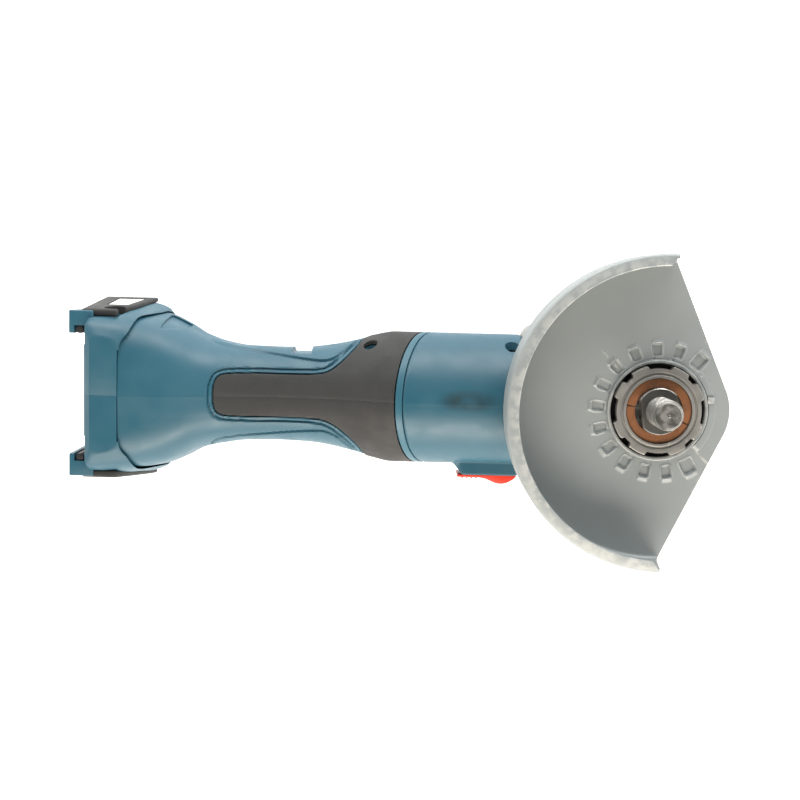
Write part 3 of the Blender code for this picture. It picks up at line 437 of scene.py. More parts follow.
# pieces shown as the CAD has them
NODE_FINISH = (
    (BLACK, ("brush_holder", "control_module", "fan", "switch_body", "switch_link")),
    (CAST, ("bearing_plate",)),
    (COPPER, ("commutator", "winding_front", "winding_rear")),
    (IRON, ("armature_core",)),
    (MAGNET, ("brush_lower", "brush_upper", "magnet_lower", "magnet_upper")),
    (STEEL, ("armature_shaft", "brush_spring_lower", "brush_spring_upper", "crown_gear", "front_bearing",
             "latch_pin", "latch_spring", "lock_spring", "motor_can", "needle_bearing", "pinion_gear",
             "rear_bearing", "spindle_bearing", "switch_spring")),
)
for finish, nodes in NODE_FINISH:
    for node in nodes:
        for index in range(max(1, len(bpy.data.objects[node].data.materials))):
            bpy.data.objects[node].material_slots[index].material = finish

# ---------------- handle's skin
HANDLE_SECTIONS = np.array((
    # x, half width, floor side, guard side, squareness, spread
    (-95.0, BODY_R, 0.5, 63.5, 2.0, 0.0),
    (-108.0, BODY_R, 0.5, 63.5, 2.0, 0.0),
    (-120.5, BODY_R, 0.5, 63.5, 2.0, 0.0),
    (-130.0, 29.8, 1.2, 61.4, 2.05, 0.0),
    (-140.0, 27.2, 3.0, 58.4, 2.15, 0.0),
    (-150.0, 25.0, 4.4, 55.6, 2.3, 0.0),
    (-160.0, 23.6, 5.0, 54.0, 2.4, 0.0),
    (-175.0, 23.0, 5.2, 53.4, 2.45, 0.0),
    (-190.0, 23.3, 4.8, 54.2, 2.5, 0.0),
    (-202.0, 25.0, 3.8, 56.2, 2.6, 0.03),
    (-212.0, 27.6, 2.6, 58.8, 2.9, 0.09),
    (-221.0, 32.0, 1.6, 61.2, 3.4, 0.11),
    (-231.0, 36.0, 0.8, 63.4, 3.8, 0.11),
    (-241.0, 37.6, 0.4, 64.6, 4.2, 0.10),
    (-252.0, 38.0, 0.2, 64.9, 4.4, 0.10),
))[::-1]


def pchip(xs, ys, x):
    """Monotone cubic interpolation."""
    h = np.diff(xs)
    slope = np.diff(ys) / h
    d = np.zeros(len(xs))
    same = slope[:-1] * slope[1:] > 0
    w1, w2 = 2 * h[1:] + h[:-1], h[1:] + 2 * h[:-1]
    with np.errstate(divide="ignore", invalid="ignore"):
        inner = (w1 + w2) / (w1 / slope[:-1] + w2 / slope[1:])
    d[1:-1] = np.where(same, inner, 0.0)
    d[0], d[-1] = slope[0], slope[-1]
    i = np.clip(np.searchsorted(xs, x) - 1, 0, len(h) - 1)
    t = (x - xs[i]) / h[i]
    t = np.clip(t, 0, 1)
    return ((2 * t**3 - 3 * t**2 + 1) * ys[i] + (t**3 - 2 * t**2 + t) * h[i] * d[i]
            + (-2 * t**3 + 3 * t**2) * ys[i + 1] + (t**3 - t**2) * h[i] * d[i + 1])


def section(table, x):
    """A table's columns at x, which its first column holds in rising order."""
    return [pchip(table[:, 0], table[:, k], x) for k in range(1, table.shape[1])]


def oval(angle, half, low, high, power, spread=0.0, inset=0.0):
    """A superellipse's y and z, set in from its edge; spread widens its floor side."""
    c, s = np.cos(angle), np.sin(angle)
    rise = np.sign(s) * np.abs(s) ** (2 / power)
    y = (half - inset) * np.sign(c) * np.abs(c) ** (2 / power) * (1 - spread * rise)
    z = (low + high) / 2 + ((high - low) / 2 - inset) * rise
    return y, z


def skin_point(x, angle, inset):
    """A point on the handle's section at x, set in from its surface."""
    return oval(angle, *section(HANDLE_SECTIONS, x), inset)


def leaning_grid(front_offset, rear_x, rows, angles):
    """x and angle lattice from a front row on the neck's leaning plane to a rear row at rear_x."""
    t = np.linspace(0, 1, rows)[:, None]
    a = np.tile(angles, (rows, 1))
    x = np.repeat(np.linspace(NECK_X + front_offset, rear_x, rows)[:, None], len(angles), axis=1)
    for _ in range(6):
        _, z = skin_point(x, a, 0.0)
        front = NECK_X + front_offset - NECK_SLOPE * (z - MOTOR_Z)
        x = front * (1 - t) + rear_x * t
    return x, a


def line_distance(px, py, line):
    best = np.full(px.shape, 1e9)
    for (x0, y0), (x1, y1) in zip(line, line[1:]):
        dx, dy = x1 - x0, y1 - y0
        t = np.clip(((px - x0) * dx + (py - y0) * dy) / (dx * dx + dy * dy), 0, 1)
        best = np.minimum(best, np.hypot(px - x0 - t * dx, py - y0 - t * dy))
    return best


def polygon_distance(px, py, polygon):
    """Signed distance to a polygon, negative inside."""
    closed = polygon[-1:] + polygon
    best = line_distance(px, py, closed)
    inside = np.zeros(px.shape, bool)
    for (x0, y0), (x1, y1) in zip(closed, polygon):
        crosses = (y0 > py) != (y1 > py)
        with np.errstate(divide="ignore", invalid="ignore"):
            at = (x1 - x0) * (py - y0) / (y1 - y0) + x0
        inside ^= crosses & (px < at)
    return np.where(inside, -best, best)


def round_line(points, rounds=3):
    """Corner cutting, which turns a polyline into a smooth curve."""
    for _ in range(rounds):
        out = [points[0]]
        for a, b in zip(points, points[1:]):
            out.append((a[0] * 0.75 + b[0] * 0.25, a[1] * 0.75 + b[1] * 0.25))
            out.append((a[0] * 0.25 + b[0] * 0.75, a[1] * 0.25 + b[1] * 0.75))
        out.append(points[-1])
        points = out
    return points


TONGUE_UP, TONGUE_DOWN = 11.3, 9.5
GRIP_UPPER = round_line([(-100, 46), (-132.5, 40), (-134.0, 32.0), (-137.5, 26.0), (-143.6, 19.2),
                         (-149.6, 13.6), (-155.0, TONGUE_UP + 0.2), (-170, TONGUE_UP), (-196.0, TONGUE_UP),
                         (-202.6, TONGUE_UP - 1.0), (-204.6, 6.0), (-204.9, 0.9)])
GRIP_LOWER = round_line([(-204.9, 0.9), (-204.6, -4.2), (-202.6, -TONGUE_DOWN + 1.0), (-196.0, -TONGUE_DOWN),
                         (-170, -TONGUE_DOWN), (-155.0, -TONGUE_DOWN - 0.2), (-149.0, -12.0), (-142.6, -16.8),
                         (-136.4, -23.4), (-132.5, -31.0), (-131.5, -40), (-100, -46)])
GRIP_OUTLINE = GRIP_UPPER + GRIP_LOWER[1:]
SEAM_UPPER = round_line([(-211.5, 29.5), (-209.5, 27.4), (-206.5, 25.2), (-202.4, 23.8), (-196, 22.6),
                         (-180, 20.4), (-156, 17.4), (-150, 18.2), (-143.6, 23.0), (-135.4, 29.2),
                         (-131, 34)])
SEAM_LOWER = round_line([(-207, -24.6), (-205.4, -22.4), (-201, -20.6), (-180, -18.2), (-156, -15.6),
                         (-150, -16.6), (-145, -20.0), (-139.6, -25.6), (-134, -32)])
COLLAR_EDGE_X = -131.5
GRIP_BLEND = 6


def grip_distance(x, y, z):
    """Signed distance in plan to the soft grip's zone, negative where the rubber is."""
    upper = polygon_distance(x, y, GRIP_OUTLINE)
    lower = COLLAR_EDGE_X - x
    low, high = MOTOR_Z - GRIP_BLEND, MOTOR_Z + GRIP_BLEND
    blend = smooth(low, high, z)
    return np.where(z > high, upper, np.where(z < low, lower, blend * upper + (1 - blend) * lower))


def groove(distance, width, depth):
    return depth * (1 - smooth(width * 0.25, width * 0.5 + 0.25, distance))


def thick_skin(name, x, a, outer_inset, inner_inset, side=None, mask=None):
    """A closed solid between two insets of the handle's section over a lattice of x and angle."""
    points = []
    for inset in (outer_inset, inner_inset):
        y, z = skin_point(x, a, inset)
        if side:
            y = side * np.maximum(side * y, 0.02)
        points.append(np.stack([x, y, z], -1).reshape(-1, 3))
    rows, columns = x.shape
    count = rows * columns
    if mask is None:
        mask = np.ones((rows - 1, columns - 1), bool)
    used = {}
    verts, faces = [], []

    def vertex(i):
        if i not in used:
            used[i] = len(verts)
            verts.append(points[i // count][i % count])
        return used[i]

    edges = {}
    for i in range(rows - 1):
        for j in range(columns - 1):
            if not mask[i, j]:
                continue
            near, far = i * columns + j, (i + 1) * columns + j
            ring = (near, near + 1, far + 1, far)
            faces.append(tuple(vertex(k) for k in ring))
            faces.append(tuple(vertex(k + count) for k in reversed(ring)))
            for k in range(4):
                p, q = ring[k], ring[(k + 1) % 4]
                if (q, p) in edges:
                    del edges[(q, p)]
                else:
                    edges[(p, q)] = True
    for p, q in edges:
        faces.append((vertex(q), vertex(p), vertex(p + count), vertex(q + count)))
    return raw_object(name, verts, faces)


# how far along and how deep under the skin the neck band's outline is
NECK_BAND = ((0.3, 0.5), (0.5, 0.1), (0.9, 0.0), (2.0, 0.0), (3.0, 0.0), (3.4, 0.1), (3.6, 0.5))


def make_handle():
    rows, columns = 236, 132
    for name, side in SIDES:
        start = -np.pi / 2 if side == 1 else np.pi / 2
        angles = np.linspace(start, np.pi / 2 if side == 1 else 3 * np.pi / 2, columns)
        x, a = leaning_grid(-0.2, FOOT_SEAM_X, rows, angles)
        y, z = skin_point(x, a, 0.0)
        away = grip_distance(x, y, z)
        top = smooth(MOTOR_Z + 2, MOTOR_Z + 8, z)
        inset = (RUBBER + GAP) * (1 - smooth(-0.1, 0.35, away))
        inset = inset + 0.95 * (1 - smooth(0.22, 0.62, np.abs(away - 2.15))) * (away > 0.6)
        seam = SEAM_UPPER if side == 1 else SEAM_LOWER
        inset = inset + groove(line_distance(x, y, seam), 1.0, 1.0) * top * (away > 1.2)
        inset = inset + 0.045 * np.minimum(np.abs(y), 10.0) - 0.10 * (1 - smooth(0.0, 0.55, np.abs(y)))
        shell = thick_skin("shell_" + name, x, a, inset, np.maximum(inset + 1.6, SHELL_INSET), side)
        if side == 1:
            cut(shell, rounded_box("seam_notch", (-169.5, 20, -2), (-160, 30, 46), 0.6))
            patch = rounded_box("patch", (-230, 30.4, 22), (-219.5, 42, 56), 1.0, 3)
            cut(shell, cut(patch, handle_solid("floor", 1.5, -234.0, -216.0, 24)))
            cut(shell, side_rod("pocket", NECK_SCREW, NECK_SEAT_Y, 40, 3.3))
        finish_piece(shell, ["handle_" + name], BLUE)
        depth = -away
        t = np.clip(depth / RUBBER_EDGE, 0, 1)
        drop = RUBBER * (1 - np.sqrt(np.clip(1 - (1 - t) ** 2, 0, 1)))
        drop = drop + 0.25 * (1 - smooth(0.1, 0.45, np.abs(y)))
        corner = np.maximum.reduce([depth[1:, 1:], depth[:-1, 1:], depth[1:, :-1], depth[:-1, :-1]])
        grip = thick_skin("grip_" + name, x, a, np.minimum(drop, RUBBER - 0.12), np.full(x.shape, RUBBER),
                          side, corner > 0.08)
        if side == 1:
            cut(grip, side_rod("pocket", NECK_SCREW, NECK_SEAT_Y, 40, 3.3, round_off=0))
        finish_piece(grip, ["grip_rubber_" + name], RUBBER_MAT)
    angles = np.linspace(0, 2 * np.pi, 241)
    along, depth = np.array(NECK_BAND).T
    a = np.tile(angles, (len(along), 1))
    x = np.full(a.shape, -110.0)
    for _ in range(6):
        _, z = skin_point(x, a, 0.0)
        x = NECK_X + along[:, None] - NECK_SLOPE * (z - MOTOR_Z)
    inset = np.repeat(depth[:, None], len(angles), axis=1)
    ring = thick_skin("neck_band", x, a, inset, np.full(x.shape, SHELL_INSET))
    finish_piece(ring, ["neck_ring"], PALE)


# ---------------- barrel and switch
def make_barrel():
    rows, fine = 90, np.radians(np.linspace(-22, 22, 133))
    coarse = np.radians(np.arange(22.5, 337.5, 1.5))
    angles = np.pi + np.sort(np.concatenate([fine, coarse]))
    angles = np.append(angles, angles[0] + 2 * np.pi)
    front = HEAD_REAR_X - GAP
    t = np.linspace(0, 1, rows)[:, None]
    a = np.tile(angles, (rows, 1))
    z = MOTOR_Z + BODY_R * np.sin(a)
    rear = NECK_X + 3.9 - NECK_SLOPE * (z - MOTOR_Z)
    x = front * (1 - t) + rear * t
    # the platform under the switch stands out as a flat on the -Y side
    off = np.abs((a % (2 * np.pi)) - np.pi)
    flat = PLATFORM_Y / np.maximum(np.cos(off), 0.2)
    flat = np.minimum(flat, PLATFORM_HALF / np.maximum(np.sin(off), 1e-6))
    flat = BODY_R + (flat - BODY_R) * smooth(-92.0, -86.0, x)
    r = np.where(off > math.radians(30), BODY_R, np.maximum(BODY_R, flat))
    r = r + 0.16 * (1 - smooth(0.15, 0.75, np.abs(BODY_R * np.cos(a)))) * (np.sin(a) > 0)
    r = r - 0.5 * (1 - smooth(0.0, 0.9, np.minimum(front - x, x - rear)))
    inner = np.full(r.shape, BODY_R - BODY_WALL)
    verts = [np.stack([x, R * np.cos(a), MOTOR_Z + R * np.sin(a)], -1).reshape(-1, 3) for R in (r, inner)]
    count, columns = x.size, len(angles)
    faces = grid_faces(rows, columns)
    faces += [tuple(i + count for i in reversed(f)) for f in faces]
    last = (rows - 1) * columns
    for j in range(columns - 1):
        faces.append((j + 1, j, j + count, j + 1 + count))
        faces.append((last + j, last + j + 1, last + j + 1 + count, last + j + count))
    barrel = raw_object("barrel", np.concatenate(verts), faces)
    slot = rounded_box("link_slot", (-84, -45, MOTOR_Z - 3.2), (-70, -20, MOTOR_Z + 3.2), 0.0)
    cut(barrel, slot, side_rod("pocket", BARREL_SCREW, 16, 40, 3.4))
    for i in range(4):
        end = -70.5 - 7 * i
        cut(barrel, rounded_box("vent", (end - 2.4, 24, 14.5), (end, 33, 23.5), 0.9))
    finish_piece(barrel, ["motor_housing"], BLUE_BARREL)


def make_switch():
    low = -PLATFORM_Y - GAP
    line = [(x, low - out) for x, out in (
        (-89, 0), (-60.5, 0), (-60.5, 0.9), (-62.4, 2.5), (-64.6, 3.7), (-66.4, 4.25), (-68.4, 4.4),
        (-70.4, 4.1), (-72.6, 3.2), (-75, 2.1), (-78, 1.5), (-89, 1.4))]
    slider = prism("switch_button", line[::-1], MOTOR_Z - 7, MOTOR_Z + 7, bevel=0.45, segments=3)
    ribs = [rounded_box("rib", (x - 0.45, low - 2.1, MOTOR_Z - 5.6), (x + 0.45, low - 1.0, MOTOR_Z + 5.6),
                        0.2, 2) for x in (-86.4, -84.2, -82.0, -79.8)]
    stem = rounded_box("stem", (-82, low - 0.6, MOTOR_Z - 2.6), (-77, -26.9, MOTOR_Z + 2.6), 0.2)
    slider = join(slider, stem, *ribs)
    finish_piece(slider, ["switch_slider"], RED, body="switch")


# ---------------- foot
FOOT_SECTIONS = np.array((
    # z, half width, rear x, front x
    (0.0, 38.0, FOOT_REAR_X + 3.5, -224.5),
    (3.5, 41.4, FOOT_REAR_X + 0.6, -222.0),
    (12.0, 43.0, FOOT_REAR_X, -221.0),
    (34.0, 40.4, FOOT_REAR_X, -222.5),
    (52.0, 37.4, FOOT_REAR_X, -225.0),
    (61.5, 33.2, FOOT_REAR_X + 0.6, -231.0),
    (65.0, 27.0, FOOT_REAR_X + 4.0, -241.0),
))


def loft(name, rings):
    rows, count = len(rings), len(rings[0])
    faces = grid_faces(rows, count, wrap_v=True)
    faces += [tuple(range(count))[::-1], tuple((rows - 1) * count + i for i in range(count))]
    return raw_object(name, [p for ring in rings for p in ring], faces)


FOOT_CORNER = np.array(((0.0, 1.0), (0.30, 0.94), (0.55, 0.80), (0.72, 0.45), (1.0, 0.0)))
CORNER_STEPS = np.linspace(0, 1, 15)
CORNER_REACH, CORNER_DEPTH = 28.0, 17.0
REAR_ROUND = 3.0


def foot_body(name):
    levels = np.concatenate([np.linspace(0, 4, 7), np.linspace(6, 58, 18), np.linspace(59.5, 65, 9)])
    corner = list(zip(CORNER_STEPS, section(FOOT_CORNER, CORNER_STEPS)[0]))[::-1]
    rings = []
    for z in levels:
        half, rear, front = section(FOOT_SECTIONS, z)
        reach = min(CORNER_REACH, front - rear - 4.0)
        side = [(front - reach + reach * a, half - CORNER_DEPTH + CORNER_DEPTH * b) for a, b in corner]
        side += [(rear + REAR_ROUND - REAR_ROUND * math.sin(a), half - REAR_ROUND + REAR_ROUND * math.cos(a))
                 for a in np.radians((0, 22, 45, 68, 90))]
        rings.append([(x, y, z) for x, y in side] + [(x, -y, z) for x, y in reversed(side)])
    for at in (0, -1):
        level = [(-251 + (x + 251) * 0.9, y * 0.96, z) for x, y, z in rings[at]]
        rings = [level] + rings if at == 0 else rings + [level]
    return loft(name, rings)


def around(count):
    return (np.arange(count) + 0.5) * 2 * np.pi / count


def handle_solid(name, inset, x_low, x_high, rows=60, columns=96, lift=0.0):
    """The handle's outer form as a solid; lift swells it towards the guard side."""
    a = around(columns)
    rings = []
    for x in np.linspace(x_low, x_high, rows):
        _, z = skin_point(np.full(columns, x), a, inset)
        y, z = skin_point(np.full(columns, x), a, inset - lift * smooth(22, 60, z))
        rings.append([(x, yy, zz) for yy, zz in zip(y, z)])
    return loft(name, rings)


BUMPER_OUTLINE = [(-265.6, 8.0), (-265.6, 56.5), (-249.5, 56.5), (-245.0, 40.0), (-240.5, 18.0),
                  (-239.5, 8.0)]
WINDOW_OUTLINE = [(-258.0, 14.0), (-258.0, 39.0), (-248.0, 39.0), (-244.5, 14.0)]
BUMPER_LOW_Z = 8
# y at BUMPER_LOW_Z and the lean inwards per mm of height
BUMPER_SEAT, BUMPER_FACE, BUMPER_CURL = (42.2, 0.135), (44.4, 0.105), (43.5, 0.13)
CURL_X, CURL_REACH, CURL_DEPTH, CURL_LIFT = -249.0, 28.0, 3.4, 2.6


def offset_outline(outline, margin):
    """A convex outline moved outwards."""
    count = len(outline)
    moved = []
    for i in range(count):
        (ax, az), (bx, bz), (cx, cz) = outline[i - 1], outline[i], outline[(i + 1) % count]
        n1 = np.array((-(bz - az), bx - ax)) / math.hypot(bz - az, bx - ax)
        n2 = np.array((-(cz - bz), cx - bx)) / math.hypot(cz - bz, cx - bx)
        both = n1 + n2
        shift = both / (1 + n1 @ n2) * margin
        moved.append((bx + shift[0], bz + shift[1]))
    return moved


def leaning(plane, z):
    return plane[0] - (z - BUMPER_LOW_Z) * plane[1]


def bumper_outer(x, z):
    """How far out a bumper's face is: a leaning flat that curls in with the foot's front corner."""
    curl = CURL_DEPTH * max(0.0, x - CURL_X) / CURL_REACH
    return min(leaning(BUMPER_FACE, z), leaning(BUMPER_CURL, z) - curl + CURL_LIFT)


def dense(outline, parts=6):
    points = []
    for i, (x, z) in enumerate(outline):
        nx, nz = outline[(i + 1) % len(outline)]
        points += [(x + (nx - x) * t / parts, z + (nz - z) * t / parts) for t in range(parts)]
    return points


def bumper_panel(name, side, outline, inner, outer):
    """A leaning slab on the bumper's face, its depths measured from that face."""
    return loft(name, [[(x, side * (bumper_outer(x, z) + depth), z) for x, z in dense(outline)]
                       for depth in (inner, outer)])


def bumper_solid(name, side, margin, bevel=0.0):
    outline = dense(offset_outline(BUMPER_OUTLINE, margin))
    seat = BUMPER_SEAT[0] - margin, BUMPER_SEAT[1]
    inner = [(x, side * leaning(seat, z), z) for x, z in outline]
    outer = [(x, side * bumper_outer(x, z), z) for x, z in outline]
    made = loft(name, [inner, outer])
    return soften(made, bevel, 3, 20) if bevel else made


def flare_room(name):
    return handle_solid(name, -GAP, FOOT_SEAM_X - GAP, -190.0, 90, 160, 0.8)


def make_foot():
    for name, side in SIDES:
        foot = foot_body("foot_block_" + name)
        cut(foot, side_box("rear_step", side, (-280, FOOT_REAR_X + 1.4), (21 + side * 2, 60), (-5, 70)))
        join(foot, side_box("rail", side, (RAIL_REAR_X, FOOT_REAR_X + 4), (28.0, 38.6), (8, 58), 0.6))
        cut(foot, side_box("rail_slot", side, (RAIL_REAR_X + 2.4, FOOT_REAR_X), (20.0, 31.6), (0, 60)),
            flare_room("flare"))
        keep(foot, side_box("half", side, (-300, 20), (0.03, 80), (-10, 110)))
        cut(foot, side_box("bay", side, (-262.2, FOOT_SEAM_X + 5), (-1, 22), (6, 43)),
            side_box("window", side, (-275, -255), (-1, 15.8), (10, 40)), bumper_solid("seat", side, 0.4))
        if side == 1:
            cut(foot, side_rod("pocket", FOOT_SCREW, FOOT_SEAT_Y, 60, 4.2))
        foot = soften(foot, 0.35, 2, 42)
        finish_piece(foot, ["foot_" + name], BLUE)
        bumper = cut(bumper_solid("corner_rubber_" + name, side, 0.0, 1.1), flare_room("flare"))
        if side == 1:
            cut(bumper, bumper_panel("window", side, WINDOW_OUTLINE, -1.0, 4.0))
            cut(bumper, side_rod("bite", FOOT_SCREW, FOOT_SEAT_Y, 60, 5.0))
        finish_piece(bumper, ["bumper_" + name], RUBBER_MAT)
        x, y = -266.1, side * 29.8
        pad = rod("rail_pad_" + name, (x, y, 36), (x, y, 57.4), 1.9, 40, 0.7)
        finish_piece(pad, [], BLACK)
    plate = bumper_panel("blank_badge", 1, offset_outline(WINDOW_OUTLINE, -GAP), -0.8, -0.3)
    finish_piece(soften(plate, 0.12, 2, 20), ["bumper_plate"], WHITE)
    block = rounded_box("contact_block", (-261.8, -15, 11), (-252, 15, 39), 0.9, 3)
    for i in range(4):
        y = CONTACT_PITCH * (i - 1.5)
        block = cut(block, rounded_box("rib_gap", (-263, y - 1.6, 13.5), (-260.6, y + 1.6, 36.5), 0.3, 2))
    finish_piece(block, ["terminal_block"], BLACK)
    outline = [(-262.1, 16), (-262.1, 34), (-268.4, 34), (-270.0, 32.4), (-270.0, 17.6), (-268.4, 16)]
    for i in range(3):
        y = CONTACT_PITCH * (i - 1)
        blade = prism("contact_blade_" + str(i + 1), outline, y - 0.5, y + 0.5, "Y", 0.12)
        finish_piece(blade, ["contact_" + str(i + 1)], BRASS)


# ---------------- screws
def screw(name, node, seat, direction, head_r, head_h, shank_r, shank_length):
    """Pan-head screw with a six-lobed recess."""
    profile = fillet([(0, -shank_length), (shank_r, -shank_length), (shank_r, 0), (head_r, 0),
                      (head_r, head_h * 0.62), (head_r * 0.72, head_h), (head_r * 0.5, head_h),
                      (head_r * 0.46, head_h * 0.3), (0, head_h * 0.3)],
                     [0, 0.2, 0, 0.15, 0.4, 0.3, 0.08, 0.1, 0])

    def lobes(R, Z, A):
        inside = (Z > head_h * 0.25) & (R < head_r * 0.55)
        return np.where(inside, R * (1 + 0.20 * np.cos(6 * A)), R), Z

    made = revolve(name, profile, 72, warp=lobes, frame_to=axis_frame(direction, seat))
    finish_piece(made, [node], STEEL)


def make_screws():
    for i, (x, y) in enumerate(FLANGE_SCREWS, 1):
        screw("ring_screw_" + str(i), "flange_screw_" + str(i), (x, y, FLANGE_TOP + GAP), (0, 0, 1),
              3.1, 2.6, 1.9, 13)
    for name, node, (x, z), seat_y, size in (
            ("barrel_screw", "housing_screw", BARREL_SCREW, 21.6, (2.8, 2.2, 1.3, 2.6)),
            ("collar_screw", "neck_screw", NECK_SCREW, NECK_SEAT_Y + GAP, (2.9, 2.4, 1.5, 26)),
            ("block_screw", "foot_screw", FOOT_SCREW, FOOT_SEAT_Y + GAP, (3.6, 2.8, 1.8, 42))):
        screw(name, node, (x, seat_y, z), (0, 1, 0), *size)


# ---------------- gear head
HEAD_SECTIONS = np.array((
    # x, half width, floor side, guard side, squareness
    (-60.0, 31.5, 0.5, 63.4, 2.0),
    (-57.5, 35.2, 0.3, 61.0, 2.2),
    (-54.0, 36.5, 0.1, 58.6, 2.6),
    (-48.0, 36.8, 0.0, 57.0, 3.2),
    (-24.0, 35.5, 0.0, 57.0, 3.8),
    (-6.0, 29.5, 0.0, 57.0, 4.5),
))
# start, end, radius, segments: motor, bevel gears, pinion, lower journal, lock button's well and pin way
HEAD_BORES = (
    ((-65, 0, MOTOR_Z), (-38.5, 0, MOTOR_Z), 27.5, 96),
    ((0, 0, 24.2), (0, 0, 70), 21.2, 96),
    ((-40, 0, MOTOR_Z), (-10, 0, MOTOR_Z), 16.0, 64),
    ((0, 0, 11.5), (0, 0, 30), 7.4, 48),
    ((12.4, 0, -3), (12.4, 0, 10.8), 7.4, 48),
    ((10.4, 0, 8), (10.4, 0, 30), 2.25, 32),
)


def latch_pivot():
    """The latch pin's middle and direction."""
    a = math.radians(LATCH_DEG)
    radial, across = Vector((math.cos(a), math.sin(a), 0)), Vector((-math.sin(a), math.cos(a), 0))
    return radial * LATCH_PIVOT[0] + Vector((0, 0, LATCH_PIVOT[1])), across


def make_head():
    a = around(120)
    rings = []
    for x in np.concatenate([np.linspace(-60, -48, 14), np.linspace(-46, -6, 22)]):
        y, z = oval(a, *section(HEAD_SECTIONS, x))
        rings.append([(x, yy, zz) for yy, zz in zip(y, z)])
    head = loft("head_casting", rings)
    outline = [(0, 0), (24.5, 0), (28.0, 1.5), (29.5, 5), (29.5, HEAD_TOP), (0, HEAD_TOP)]
    nose = revolve("nose", fillet(outline, 0.8), 144)
    sides = (-1, 1)
    bosses = [rod("boss", (-15, side * 28, 30), (-15, side * 39, 30), 9.0, 64, 0.6) for side in sides]
    ledge = rounded_box("ledge", (26.0, -7.4, 47), (41.4, 7.4, HEAD_TOP - 0.2), 0.0, turn=LATCH_DEG)
    ears = [rounded_box("ear", (35.6, y - 1.2, 53), (41.2, y + 1.2, 62.2), 0.0, turn=LATCH_DEG)
            for y in (-5.8, 5.8)]
    join(head, nose, *bosses, ledge, *ears)
    cut(head, *[rod("bore", *bore, 0) for bore in HEAD_BORES])
    cast_over(head, 0.62, 3)
    sockets = [rod("socket", (-15, side * 22, 30), (-15, side * 45, 30), 4.2, 48, 0) for side in sides]
    pivot, across = latch_pivot()
    cut(head, *sockets, rod("pin_hole", pivot - across * 9, pivot + across * 9, 1.35, 32, 0))
    cut(head, *[rod("hole", (x, y, 45), (x, y, 70), 2.3, 32, 0) for x, y in FLANGE_SCREWS])
    finish_piece(head, ["gear_housing"], CAST, 40)


def make_bearing_flange():
    profile = [(16.3, 57.3), (29.3, 57.3), (29.3, FLANGE_TOP), (21.0, FLANGE_TOP), (21.0, 63.9), (21.0, 64.1),
               (21.0, 71.0), (19.2, 71.0), (17.5, 71.0), (17.4, 70.2), (16.4, 70.2), (16.2, 71.3),
               (15.0, 71.3), (15.0, 68.9), (13.6, 68.9), (13.6, 67.2), (16.3, 67.2)]
    rounds = [0.2, 0.4, 0.5, 0.4, 0, 0, 0.35, 0, 0.3, 0.2, 0.2, 0.25, 0.25, 0.1, 0.1, 0.1, 0.1]

    def notches(R, Z, A):
        turn = np.degrees(A) % 360
        dent = np.zeros(R.shape)
        for i in range(8):
            half = 16.3 if i % 2 == 0 else 7.4
            off = np.abs((turn - 45 * i + 180) % 360 - 180)
            dent = np.maximum(dent, 1 - smooth(half - 2.2, half + 0.4, off))
        on = (Z > 64.0) & (R > 19.3)
        return np.where(on, np.minimum(R, 21.0 - 1.75 * dent), R), Z

    flange = revolve("guard_collar", fillet(profile, rounds), 288, warp=notches)
    cut(flange, *[rod("hole", (x, y, 50), (x, y, 66), 2.5, 32, 0) for x, y in FLANGE_SCREWS])
    cut(flange, rounded_box("latch_way", (24.5, -3.4, 50), (36, 3.4, 66), 0.0, turn=LATCH_DEG))
    finish_piece(flange, ["bearing_flange"], COLLAR)
    # the ring is split at 171 and 336 degrees, 1.3 degrees each side of both splits
    start, gap, first, second = np.radians((171, 1.3, 165, 195))
    outline = fillet([(10.9, 69.2), (14.7, 69.2), (14.7, 70.2), (10.9, 70.2)], 0.12)
    halves = [revolve("half_ring", outline, 90,
                      arc=(start + gap + k * first, start - gap + first + k * second)) for k in (0, 1)]
    finish_piece(merge("copper_washer", halves), ["dust_ring"], COPPER)


def make_spindle():
    """Spindle with a real thread on its stud, a flatted shoulder and a centred end."""
    profile = [(0, 12.5), (4.5, 12.5), (5.0, 13.0), (5.0, 25.5), (6.0, 25.5), (6.0, 50.0), (7.5, 50.0),
               (7.5, 68.8), (10.6, 68.8), (10.6, 73.0), (10.2, 73.4), (6.85, 73.4)]
    thread_low, thread_high, pitch = 73.9, 91.3, 2.0
    steps = int((thread_high - thread_low) / 0.17)
    profile += [(6.85, thread_low + (thread_high - thread_low) * i / steps) for i in range(steps + 1)]
    profile += [(5.3, 92.0), (0.7, 92.0), (0.35, 91.6), (0, 91.5)]

    def shape(R, Z, A):
        turned = A - math.radians(9)
        wave = np.abs(((Z / pitch - A / (2 * np.pi)) % 1.0) * 2 - 1)
        depth = 1.05 * smooth(0.08, 0.92, wave)
        ends = smooth(thread_low, thread_low + 1.2, Z)
        chamfer = np.clip((Z - 90.0) / 1.3, 0, 1) * 1.15
        threaded = (R > 6.8) & (R < 6.9) & (Z > 73.8)
        crest = np.minimum(6.85 - depth * ends, 6.85 - chamfer)
        R = np.where(threaded, np.maximum(crest, 5.3), R)
        shoulder = (R > 8) & (Z > 66)
        limit = 8.3 / np.maximum(np.abs(np.cos(turned)), 1e-6)
        return np.where(shoulder, np.minimum(R, limit), R), Z

    spindle = revolve("spindle_turned", profile, 240, warp=shape)
    finish_piece(spindle, ["spindle"], STEEL, 40, "spindle")


